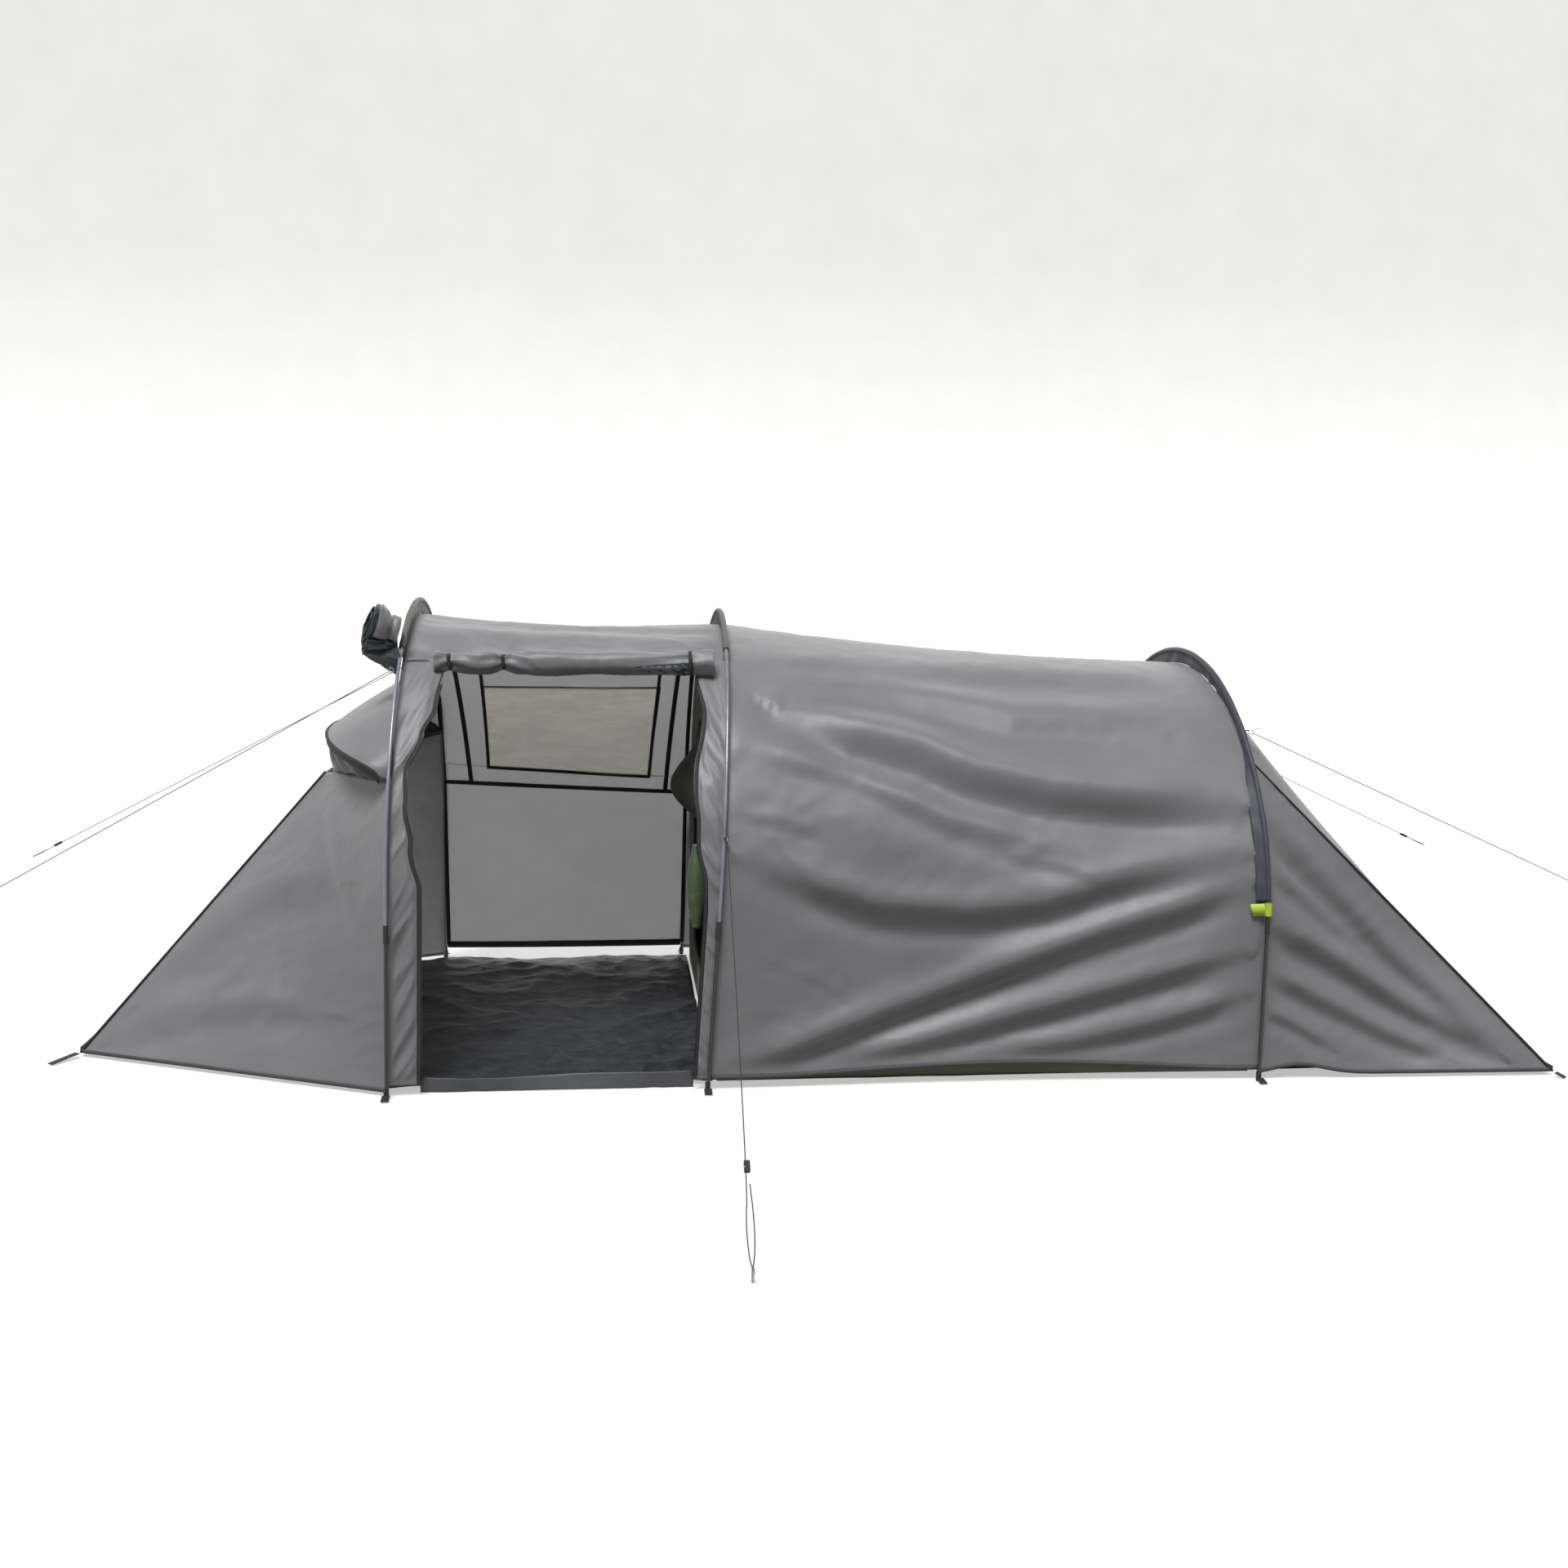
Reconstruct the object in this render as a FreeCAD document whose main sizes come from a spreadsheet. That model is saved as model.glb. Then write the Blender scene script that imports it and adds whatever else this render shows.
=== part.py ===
import FreeCAD, Part
import Sketcher
import math
import os

# Tunnel tent on three hoops, millimetres. +X runs from the front wedge to the tail, -Y is the side with the
# open door, +Z is up. The origin is on the ground, under the middle of the tent without its guylines.

SIZES = {
    # overall layout
    "front_x": -2475, "tail_x": 2525, "hoop1_x": -1385, "hoop2_x": -365, "hoop3_x": 1485,
    "front_half": 430, "tail_half": 975, "corner_z": 14,
    # hoops: half width, crown height, straight leg height, shoulder bend, lean of the crown along +X
    "hoop1_half": 950, "hoop1_crown": 1556, "hoop1_lean": 20, "hoop1_knee": 640,
    "hoop2_half": 950, "hoop2_crown": 1528, "hoop2_lean": 90, "hoop2_knee": 625,
    "hoop3_half": 965, "hoop3_crown": 1398, "hoop3_lean": 10, "hoop3_knee": 530,
    "leg_height": 530, "shoulder_radius": 720,
    "pole_diameter": 12, "ferrule_diameter": 16, "ferrule_length": 60, "pole_play": 0.3,
    "foot_diameter": 18, "foot_height": 30, "foot_play": 0.8,
    # fly sheet
    "fabric": 1.5, "inner_fabric": 1.0, "fly_side_gap": 18, "fly_crown_gap": 50, "roof_sag": 26,
    "hem_height": 34, "seam_gap": 3,
    "front_seam_z": 960, "front_seam_x": -1665, "front_seam_half": 260,
    "hood_side_z": 1000, "hood_rim_x": -1672, "hood_rim_z": 1107, "hood_root_z": 1300, "tail_seam_z": 1062,
    "sleeve_radius": 10, "band_length": 44, "crown_sleeve_z": 1405,
    # side door and window
    "door_top_z": 1360, "door_front_x": -1292, "door_rear_x": -402, "zip_top_drop": 70,
    "window_x0": -1190, "window_x1": -475, "window_z0": 838, "window_z1": 1190, "window_lap": 12,
    # rolled door, measured outwards and upwards from the edge of the roof, and rolled front flap
    "roll_diameter": 84, "roll_out": 58, "roll_up": 2, "roll_end_gap": 7,
    "flap_x": -1402, "flap_y": -500, "flap_z": 1458, "flap_length": 100, "flap_narrow": 104, "flap_wide": 140,
    "flap_tilt": 70, "fold_length": 112, "fold_root": 84, "fold_tip": 26, "fold_drop": 84,
    # ground pieces and inner tent
    "sheet_thickness": 3, "sheet_front_half": 880, "threshold_height": 55,
    "inner_gap": 70, "inner_front_x": -330, "inner_rear_x": 2050, "inner_rear_z": 480,
    "inner_door_half": 430, "inner_door_z0": 180, "inner_door_z1": 1120, "mesh_rise": 60,
    "inner_roll_diameter": 68, "inner_roll_length": 300,
    # small fittings
    "zip_width": 12, "slider_length": 22, "slider_width": 12, "slider_height": 8, "slider_play": 1.8,
    "pull_length": 34, "pull_width": 9, "pull_thickness": 3,
    "ring_radius": 8, "ring_wire": 3, "ring_play": 0.6, "runner_length": 34, "runner_width": 16,
    "runner_height": 9, "runner_bore": 5, "runner_corner": 2.5, "cord_diameter": 3,
    "strap_width": 25, "strap_thickness": 2.5, "strap_reach": 48, "tag_width": 16, "tag_thickness": 1.6,
    "loop_half": 13, "peg_width": 26, "peg_height": 38, "peg_diameter": 7,
    "toggle_length": 36, "toggle_diameter": 9,
}

doc = FreeCAD.newDocument("TentOnPoles")
sheet = doc.addObject("Spreadsheet::Sheet", "Sizes")
for row, (alias, value) in enumerate(SIZES.items(), start=1):
    sheet.set("A%d" % row, alias)
    sheet.set("B%d" % row, str(value))
    sheet.setAlias("B%d" % row, alias)
doc.recompute()

V = FreeCAD.Vector
NEAR, FAR = -1, 1
SIDES = (("near", NEAR), ("far", FAR))
EXPORTS = []


def mix(a, b, t):
    """A number or a point a share t of the way from a to b."""
    return a + (b - a) * t


def size(alias):
    """A plain number from the sheet."""
    return float(sheet.get(alias))


def keep(obj, label):
    """Name a finished sub-part and put it on the export list."""
    obj.Label = label
    EXPORTS.append(obj)
    return obj


def keep_shape(label, shape, placement=None):
    """Put a computed shape in the document as a named sub-part."""
    obj = doc.addObject("Part::Feature", label)
    obj.Shape = shape
    if placement:
        obj.Placement = placement
    return keep(obj, label)


# ---------------------------------------------------------------- arches

class Arch:
    """A hoop line: straight legs, two shoulder bends and a wide crown bend, all tangent."""

    def __init__(self, x, half, crown, lean, leg, shoulder):
        self.x, self.half, self.crown, self.lean, self.leg = x, half, crown, lean, leg
        rise = crown - leg
        self.shoulder = shoulder
        inset = half - shoulder
        self.top_radius = (inset ** 2 + rise ** 2 - shoulder ** 2) / (2 * (rise - shoulder))
        self.turn = math.atan2(self.top_radius - rise, inset)

    def inset(self, side_gap, crown_gap):
        """The same line moved inwards."""
        return Arch(self.x, self.half - side_gap, self.crown - crown_gap, self.lean, self.leg, self.shoulder)

    def at(self, z, side):
        """The point of the line at height z on one side."""
        if z <= self.leg:
            y = self.half
        elif z <= self.leg + self.shoulder * math.sin(self.turn):
            y = self.half - self.shoulder + math.sqrt(self.shoulder ** 2 - (z - self.leg) ** 2)
        else:
            down = z - (self.crown - self.top_radius)
            y = math.sqrt(max(self.top_radius ** 2 - down ** 2, 0.0))
        return V(self.x + self.lean * z / self.crown, side * y, z)

    def lengths(self):
        """Lengths of a leg, a shoulder bend and half the crown bend."""
        return self.leg, self.shoulder * self.turn, self.top_radius * (math.pi / 2 - self.turn)

    def along(self, t):
        """The point a share t of the way from the near foot over the crown to the far foot."""
        side = NEAR if t <= 0.5 else FAR
        leg, bend, top = self.lengths()
        s = (leg + bend + top) * (1 - abs(1 - 2 * t))
        if s <= leg:
            y, z = self.half, s
        elif s <= leg + bend:
            a = (s - leg) / self.shoulder
            y = self.half - self.shoulder + self.shoulder * math.cos(a)
            z = self.leg + self.shoulder * math.sin(a)
        else:
            a = self.turn + (s - leg - bend) / self.top_radius
            y = self.top_radius * math.cos(a)
            z = self.crown - self.top_radius + self.top_radius * math.sin(a)
        return V(self.x + self.lean * z / self.crown, side * y, z)

    def share(self, z):
        """How far along the line (0 to 0.5) the near side reaches height z."""
        leg, bend, top = self.lengths()
        total = 2 * (leg + bend + top)
        if z <= leg:
            return z / total
        if z <= self.leg + self.shoulder * math.sin(self.turn):
            return (leg + self.shoulder * math.asin((z - self.leg) / self.shoulder)) / total
        a = math.asin(min((z - self.crown + self.top_radius) / self.top_radius, 1.0))
        return (leg + bend + self.top_radius * (a - self.turn)) / total

    def wire(self, low):
        """The line between the two leg tops as exact arcs, starting at height low."""
        start, knee = self.at(low, NEAR), self.at(self.leg, NEAR)
        half_turn = self.turn / 2
        mids, joins = [], []
        for side in (NEAR, FAR):
            y = self.half - self.shoulder + self.shoulder * math.cos(half_turn)
            z = self.leg + self.shoulder * math.sin(half_turn)
            mids.append(V(self.x + self.lean * z / self.crown, side * y, z))
            joins.append(self.at(self.leg + self.shoulder * math.sin(self.turn), side))
        top = V(self.x + self.lean, 0, self.crown)
        far_knee, end = self.at(self.leg, FAR), self.at(low, FAR)
        edges = [Part.Arc(knee, mids[0], joins[0]).toShape(), Part.Arc(joins[0], top, joins[1]).toShape(),
                 Part.Arc(joins[1], mids[1], far_knee).toShape()]
        if low < self.leg:
            edges = [Part.makeLine(start, knee)] + edges + [Part.makeLine(far_knee, end)]
        return Part.Wire(edges)


def hoop(number):
    name = "hoop%d_" % number
    return Arch(size(name + "x"), size(name + "half"), size(name + "crown"), size(name + "lean"),
                size(name + "knee"), size("shoulder_radius"))


HOOPS = {n: hoop(n) for n in (1, 2, 3)}
FLIES = {n: HOOPS[n].inset(size("fly_side_gap"), size("fly_crown_gap")) for n in HOOPS}


def between(first, second, u, sag=0.0):
    """A fly line a share u of the way from one arch to the next."""
    dip = sag * 4 * u * (1 - u)
    return Arch(mix(first.x, second.x, u), mix(first.half, second.half, u) - dip / 2,
                mix(first.crown, second.crown, u) - dip, mix(first.lean, second.lean, u),
                mix(first.leg, second.leg, u), mix(first.shoulder, second.shoulder, u))


def door_line(x):
    """The fly line through the porch that starts at x on the ground."""
    share = (x - size("hoop1_x")) / (size("hoop2_x") - size("hoop1_x"))
    return between(FLIES[1], FLIES[2], share, size("roof_sag"))


# ---------------------------------------------------------------- fabric panels

def steps(count):
    return [i / (count - 1) for i in range(count)]


def surface_of(points):
    spline = Part.BSplineSurface()
    spline.interpolate(points)
    return spline


def panel(points, thickness):
    """A closed thin solid whose outer face passes through a grid of points."""
    rows, cols = len(points), len(points[0])
    inner = []
    for i in range(rows):
        line = []
        for j in range(cols):
            across = points[min(i + 1, rows - 1)][j] - points[max(i - 1, 0)][j]
            along = points[i][min(j + 1, cols - 1)] - points[i][max(j - 1, 0)]
            normal = across.cross(along)
            line.append(points[i][j] + normal.normalize() * thickness)
        inner.append(line)
    outer_face, inner_face = surface_of(points).toShape(), surface_of(inner).toShape()
    faces = [outer_face, inner_face]
    for a, b in zip(outer_face.Edges, inner_face.Edges):
        faces.append(Part.makeRuledSurface(a, b))
    shell = Part.makeShell(faces)
    shell.sewShape()
    solid = Part.makeSolid(shell)
    if solid.Volume < 0:
        solid.reverse()
    return solid


def hoop_panel(first, second, share_a, share_b, sag, rows, cols, u0=0.0, u1=1.0):
    """A panel between two hoops, from one share of the arch line to another."""
    grid = []
    for u in steps(rows):
        line = between(first, second, mix(u0, u1, u), sag)
        a = share_a(line)
        b = share_b(line)
        grid.append([line.along(mix(a, b, t)) for t in steps(cols)])
    return panel(grid, size("fabric"))


def add_fly():
    """The main lengths of the fly: porch roof, jambs, far porch wall and the long sleeping fly."""
    hem, top = size("hem_height"), size("door_top_z")
    porch = (FLIES[1], FLIES[2])
    length = size("hoop2_x") - size("hoop1_x")
    keep_shape("fly_porch_roof", hoop_panel(
        *porch, lambda a: a.share(top), lambda a: 1 - a.share(top), size("roof_sag"), 5, 13))
    edges = (("fly_jamb_front_near", 0.0, (size("door_front_x") - size("hoop1_x")) / length),
             ("fly_jamb_rear_near", (size("door_rear_x") - size("hoop1_x")) / length, 1.0))
    for label, u0, u1 in edges:
        keep_shape(label, hoop_panel(
            *porch, lambda a: a.share(hem), lambda a: a.share(top) - 0.002, size("roof_sag"), 4, 9, u0, u1))
    wall = hoop_panel(*porch, lambda a: 1 - a.share(top) + 0.002, lambda a: 1 - a.share(hem),
                      size("roof_sag"), 5, 9)
    keep_shape("fly_porch_wall_far", wall.cut(window_box(0)))
    inside = size("fabric") + size("seam_gap") / 2
    film = hoop_panel(FLIES[1].inset(inside, inside), FLIES[2].inset(inside, inside),
                      lambda a: 1 - a.share(top) + 0.01, lambda a: 1 - a.share(hem), size("roof_sag"), 5, 9)
    keep_shape("porch_window_film", film.common(window_box(size("window_lap"))))
    last = 1 - size("seam_gap") / (size("hoop3_x") - size("hoop2_x"))
    keep_shape("fly_sleeping", hoop_panel(
        FLIES[2], FLIES[3], lambda a: a.share(hem), lambda a: 1 - a.share(hem), size("roof_sag"), 7, 25,
        0.0, last))


def window_box(grow):
    x0, x1 = size("window_x0") - grow, size("window_x1") + grow
    z0, z1 = size("window_z0") - grow, size("window_z1") + grow
    depth = size("hoop1_half") * 0.7
    return Part.makeBox(x1 - x0, depth, z1 - z0, V(x0, depth * 0.6, z0))


def front_seam(t, side):
    """The seam from a front corner up to the hood."""
    x = mix(size("front_x"), size("front_seam_x"), t)
    y = mix(size("front_half"), size("front_seam_half"), t)
    return V(x, side * y, mix(size("corner_z"), size("front_seam_z"), t))


def add_front():
    """The front wedge: two sides, the sloping end, the hood and the mesh under it."""
    low, high = size("corner_z"), size("hood_side_z")
    fabric = size("fabric")
    for name, side in SIDES:
        grid = []
        for t in steps(9):
            root = FLIES[1].at(mix(low, high, t), side)
            tip = front_seam(t, side)
            grid.append([root + (tip - root) * s for s in steps(6)])
        keep_shape("fly_front_side_" + name, panel(grid if side == NEAR else grid[::-1], fabric))
    grid = [[mix(front_seam(t, NEAR), front_seam(t, FAR), s) for s in steps(5)] for t in steps(4)]
    keep_shape("fly_front_end", panel(grid, fabric))
    hood = []
    for s in steps(13):
        hood.append([mix(hood_root(s), hood_rim(s), t) for t in steps(4)])
    keep_shape("vent_hood", panel(hood[::-1], fabric))
    mesh = []
    for s in steps(13):
        mesh.append([mix(hood_rim(s) - V(0, 0, 3 * fabric), vent_foot(s), t) for t in steps(3)])
    keep_shape("vent_mesh", panel(mesh[::-1], size("inner_fabric")))


def hood_root(s):
    """The rear edge of the hood, sewn to the front arch at both ends and free under the open gable."""
    end = FLIES[1].at(size("hood_side_z"), NEAR)
    swing = math.sin(math.pi * s)
    y = -math.cos(math.pi * s) * abs(end.y)
    z = mix(size("hood_side_z") + size("fabric"), size("hood_root_z"), swing)
    return V(FLIES[1].x + FLIES[1].lean * z / FLIES[1].crown - size("seam_gap"), y, z)


def hood_rim(s):
    """The free edge of the hood from its near end over the middle to its far end."""
    end = FLIES[1].at(size("hood_side_z"), NEAR)
    swing = math.sin(math.pi * s)
    y = -math.cos(math.pi * s) * (abs(end.y) + size("fabric"))
    x = mix(end.x - 30, size("hood_rim_x"), swing ** 0.8)
    return V(x, y, mix(size("hood_side_z") + 8, size("hood_rim_z"), swing ** 1.2))


def vent_foot(s):
    """The line where the mesh meets the tops of the front sides and the front end."""
    rim = hood_rim(s)
    near_top = FLIES[1].at(size("hood_side_z"), NEAR)
    half = size("front_seam_half")
    reach = min(max((abs(rim.y) - half) / (abs(near_top.y) - half), 0.0), 1.0)
    x = mix(size("front_seam_x"), near_top.x - 24, reach)
    return V(x, rim.y * 0.985, mix(size("front_seam_z"), size("hood_side_z"), reach) + size("fabric"))


def tail_seam(t, side):
    """The seam from the tail corner up to the rear hoop."""
    top = FLIES[3].at(size("tail_seam_z"), side)
    foot = V(size("tail_x"), side * size("tail_half"), size("corner_z"))
    return foot + (top - foot) * t


def add_tail():
    """The tail wedge: two three-cornered sides and the long sloping end."""
    fabric = size("fabric")
    for name, side in SIDES:
        grid = []
        for t in steps(9):
            tip = tail_seam(mix(0, 0.98, t), side)
            root = FLIES[3].at(tip.z, side) + V(size("seam_gap"), 0, 0)
            grid.append([root + (tip - root) * s for s in steps(6)])
        keep_shape("fly_tail_side_" + name, panel(grid[::-1] if side == NEAR else grid, fabric))
    a = FLIES[3].share(size("tail_seam_z"))
    grid = []
    for s in steps(11):
        root = FLIES[3].along(mix(a, 1 - a, s)) + V(size("seam_gap"), 0, 0)
        foot = mix(tail_seam(0, NEAR), tail_seam(0, FAR), s)
        grid.append([mix(root, foot, t) for t in steps(6)])
    keep_shape("fly_tail_end", panel(grid, fabric))


# ---------------------------------------------------------------- poles and sleeves

def tube_along(wire, radius, inner=0.0):
    """A round bar, or a tube, swept along a wire."""
    edge = wire.Edges[0]
    start = edge.valueAt(edge.FirstParameter)
    tangent = edge.tangentAt(edge.FirstParameter)
    ends = (wire.OrderedVertexes[0].Point, wire.OrderedVertexes[-1].Point)
    if start.distanceToPoint(ends[0]) > 1e-6:
        start, tangent = edge.valueAt(edge.LastParameter), edge.tangentAt(edge.LastParameter) * -1

    def sweep(r):
        profile = Part.Wire(Part.makeCircle(r, start, tangent))
        solid = wire.makePipeShell([profile], True, False)
        if solid.Volume < 0:
            solid.reverse()
        return solid
    bar = sweep(radius)
    return bar.cut(sweep(inner)) if inner else bar


def add_poles():
    """Three hoops, each a bent upper pole between two straight black legs."""
    radius, joint = size("pole_diameter") / 2, size("leg_height")
    for n, line in HOOPS.items():
        keep_shape("hoop%d_upper_pole" % n, tube_along(line.wire(joint), radius))
        legs = []
        for name, side in SIDES:
            foot, knee = line.at(size("foot_height") / 4, side), line.at(joint, side)
            legs.append(Part.makeCylinder(radius, (knee - foot).Length - 0.4, foot, knee - foot))
        keep_shape("hoop%d_legs" % n, Part.makeCompound(legs))


def add_ferrules():
    """Identical ferrules over the six pole joints and identical cups under the six legs."""
    radius, length = size("ferrule_diameter") / 2, size("ferrule_length")
    bore = size("pole_diameter") / 2 + size("pole_play")
    ferrules, cups = [], []
    for line in HOOPS.values():
        for name, side in SIDES:
            low = line.at(size("leg_height") - length / 2, side)
            axis = line.at(size("leg_height") + length / 2, side) - low
            ferrules.append(Part.makeCylinder(radius, length, low, axis).cut(
                Part.makeCylinder(bore, length * 2, low - axis * 0.5, axis)))
            cup = Part.makeCylinder(size("foot_diameter") / 2, size("foot_height"), line.at(0, side))
            hollow = Part.makeCylinder(size("pole_diameter") / 2 + size("foot_play"), size("foot_height"),
                                       line.at(size("foot_height") / 5, side), axis)
            cups.append(cup.cut(hollow))
    keep_shape("pole_ferrules", Part.makeCompound(ferrules))
    keep_shape("pole_foot_cups", Part.makeCompound(cups))


def nearest(line, point):
    """The point of an arch line closest to a given point."""
    return min((line.along(t) for t in steps(1201)), key=point.distanceToPoint)


def sleeve(number, low):
    """A fabric sleeve folded round a pole and sewn to the fly, from height low over the crown."""
    line, fly = HOOPS[number], FLIES[number]
    radius, skin = size("sleeve_radius"), size("fabric") / 2
    a = line.share(low)
    outlines = []
    for t in steps(15):
        pole = line.along(mix(a, 1 - a, t))
        foot = nearest(fly, pole)
        down = (foot - pole).normalize()
        aside = (V(1, 0, 0) - down * down.x).normalize()
        reach = (foot - pole).Length - size("seam_gap")

        def fold(r, gap):
            points = [pole + down * reach + aside * gap]
            for step in steps(9):
                angle = math.radians(mix(30, 330, step))
                points.append(pole + down * r * math.cos(angle) + aside * r * math.sin(angle))
            return points + [pole + down * reach - aside * gap]
        ring = fold(radius, 1.6 * skin) + fold(radius - skin, 0.5 * skin)[::-1]
        outlines.append(Part.makePolygon(ring + ring[:1]))
    return Part.makeLoft(outlines, True, False)


def add_sleeves():
    for number in (1, 2):
        keep_shape("hoop%d_crown_sleeve" % number, sleeve(number, size("crown_sleeve_z")))
    band_foot = size("leg_height") + size("ferrule_length") / 2 + size("seam_gap")
    band_top = band_foot + size("band_length")
    keep_shape("hoop3_sleeve", sleeve(3, band_top + size("seam_gap")))
    bands = []
    for name, side in SIDES:
        low = HOOPS[3].at(band_foot, side)
        axis = HOOPS[3].at(band_top, side) - low
        band = Part.makeCylinder(size("sleeve_radius") + size("fabric"), axis.Length, low, axis)
        bore = Part.makeCylinder(size("pole_diameter") / 2 + size("foot_play"), axis.Length, low, axis)
        bands.append(band.cut(bore))
    keep_shape("hoop3_sleeve_end_bands", Part.makeCompound(bands))


# ---------------------------------------------------------------- rolls, ties and straps

TIE_SHARES = (0.055, 0.245, 0.915)  # how far along the rolled door each tie sits


def roll_axis():
    """Start and end of the rolled door's centre line, kept to the edge of the porch roof."""
    ends = []
    for x, way in ((size("door_front_x"), 1), (size("door_rear_x"), -1)):
        edge = door_line(x).at(size("door_top_z"), NEAR)
        ends.append(edge + V(way * size("roll_end_gap"), -size("roll_out"), size("roll_up")))
    level = (ends[0].y + ends[1].y) / 2
    return V(ends[0].x, level, ends[0].z), V(ends[1].x, level, ends[1].z)


def add_rolls():
    """The rolled-up near door under the porch roof and the rolled front flap tied at hoop 1."""
    first, last = roll_axis()
    radius, width = size("roll_diameter") / 2, size("strap_width")
    roll = doc.addObject("Part::Cylinder", "RolledDoor")
    roll.setExpression("Radius", "Sizes.roll_diameter / 2")
    roll.Height = (last - first).Length
    roll.Placement = FreeCAD.Placement(first, FreeCAD.Rotation(V(0, 1, 0), 90))
    keep(roll, "rolled_side_door")
    add_flap()
    ties, toggles = [], []
    for share in TIE_SHARES:
        start = mix(first, last, share) - V(width / 2, 0, 0)
        tie = Part.makeCylinder(radius + size("strap_thickness"), width, start, V(1, 0, 0))
        ties.append(tie.cut(Part.makeCylinder(radius + size("pole_play"), width, start, V(1, 0, 0))))
        out = radius + size("strap_thickness") + size("toggle_diameter") / 2 + size("pole_play")
        low = start + V(width / 2, -out, -size("toggle_length") / 2)
        toggles.append(Part.makeCylinder(size("toggle_diameter") / 2, size("toggle_length"), low))
    keep_shape("door_roll_ties", Part.makeCompound(ties))
    keep_shape("door_roll_toggles", Part.makeCompound(toggles))


def add_flap():
    """The front flap: a short flared roll pointing forward and the loose folds hanging below it."""
    root = V(size("flap_x"), size("flap_y"), size("flap_z"))
    tilt = math.radians(size("flap_tilt"))
    roll = Part.makeCone(size("flap_narrow") / 2, size("flap_wide") / 2, size("flap_length"), root,
                         V(-math.sin(tilt), 0, math.cos(tilt)))
    fold = Part.makeCone(size("fold_root") / 2, size("fold_tip") / 2, size("fold_length"),
                         root - V(0, 0, size("fold_drop")), V(-math.sin(tilt), 0, math.cos(tilt) / 2))
    keep_shape("rolled_front_flap", roll.fuse(fold))


def strap(start, end, width, thickness):
    """A flat webbing strap between two points, its width level."""
    run = end - start
    across = run.cross(V(0, 0, 1)).normalize() * (width / 2)
    up = across.cross(run).normalize() * thickness
    corners = [start - across, start + across, end + across, end - across]
    face = Part.Face(Part.makePolygon(corners + corners[:1]))
    return face.extrude(up if up.z > 0 else up * -1)


def add_straps():
    """Peg-out straps at the four corners and short peg straps at the six pole feet."""
    width, thick = size("strap_width"), size("strap_thickness")
    corners = []
    for side in (NEAR, FAR):
        floor = V(0, 0, size("seam_gap") - size("corner_z"))
        start = V(size("front_x") - 9, side * (size("front_half") + 12), size("corner_z"))
        corners.append(strap(start, start + V(-62, side * 84, 0) + floor, width, thick))
        start = V(size("tail_x") + 1, side * (size("tail_half") + 20), size("corner_z"))
        corners.append(strap(start, start + V(20, side * 24, 0) + floor, width, thick))
    keep_shape("corner_peg_straps", Part.makeCompound(corners))
    feet = []
    for line in HOOPS.values():
        for side in (NEAR, FAR):
            foot = line.at(0, side)
            start = foot + V(0, side * (size("foot_diameter") / 2 + size("foot_play")), size("foot_height") / 3)
            end = foot + V(0, side * size("strap_reach"), size("seam_gap"))
            feet.append(strap(start, end, width, thick))
    keep_shape("foot_webbing_straps", Part.makeCompound(feet))


# ---------------------------------------------------------------- ground pieces and inner tent

def block(label, length, width, height, origin, turn=None):
    """A flat rectangular body: a centred sketch padded up, all three sizes bound to the sheet."""
    body = doc.addObject("PartDesign::Body", "Body_" + label)
    sketch = body.newObject("Sketcher::SketchObject", "Outline_" + label)
    plane = [f for f in body.Origin.OriginFeatures if f.Role == "XY_Plane"][0]
    sketch.AttachmentSupport = [(plane, "")]
    sketch.MapMode = "FlatFace"
    corners = [V(-10, -10, 0), V(10, -10, 0), V(10, 10, 0), V(-10, 10, 0)]
    for i in range(4):
        sketch.addGeometry(Part.LineSegment(corners[i], corners[(i + 1) % 4]), False)
    for i in range(4):
        sketch.addConstraint(Sketcher.Constraint("Coincident", i, 2, (i + 1) % 4, 1))
    for i, kind in enumerate(("Horizontal", "Vertical", "Horizontal", "Vertical")):
        sketch.addConstraint(Sketcher.Constraint(kind, i))
    sketch.addConstraint(Sketcher.Constraint("Symmetric", 0, 1, 2, 1, -1, 1))
    for name, line, expression in (("Length", 0, length), ("Width", 1, width)):
        index = sketch.addConstraint(Sketcher.Constraint("Distance", line, 20.0))
        sketch.renameConstraint(index, name)
        sketch.setExpression("Constraints." + name, expression)
    pad = body.newObject("PartDesign::Pad", "Pad_" + label)
    pad.Profile = sketch
    pad.setExpression("Length", height)
    doc.recompute()
    body.Placement = FreeCAD.Placement(origin, turn or FreeCAD.Rotation())
    return keep(body, label)


def add_ground():
    """The dark porch groundsheet, the grey threshold strip and the tub floor of the inner tent."""
    middle = (size("hoop1_x") + size("hoop2_x")) / 2
    block("porch_groundsheet", "Sizes.hoop2_x - Sizes.hoop1_x - 30", "Sizes.sheet_front_half * 2",
          "Sizes.sheet_thickness", V(middle, 0, 0))
    block("door_threshold", "Sizes.door_rear_x - Sizes.door_front_x - 16", "Sizes.sheet_thickness",
          "Sizes.threshold_height",
          V((size("door_front_x") + size("door_rear_x")) / 2, -size("sheet_front_half") - 20, 0))
    centre = (size("inner_front_x") + size("inner_rear_x")) / 2
    block("inner_tub_floor", "Sizes.inner_rear_x - Sizes.inner_front_x - 10",
          "(Sizes.hoop2_half - Sizes.inner_gap) * 2 - 10", "Sizes.sheet_thickness", V(centre, 0, 0))


def inner_line(u):
    """A line of the inner tent a share u of the way from its front to its rear end."""
    first = FLIES[2].inset(size("inner_gap"), size("inner_gap"))
    last = FLIES[3].inset(size("inner_gap"), size("inner_gap"))
    first.x, first.lean = size("inner_front_x"), 0
    last.lean = 0
    return between(first, last, u, size("roof_sag"))


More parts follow.
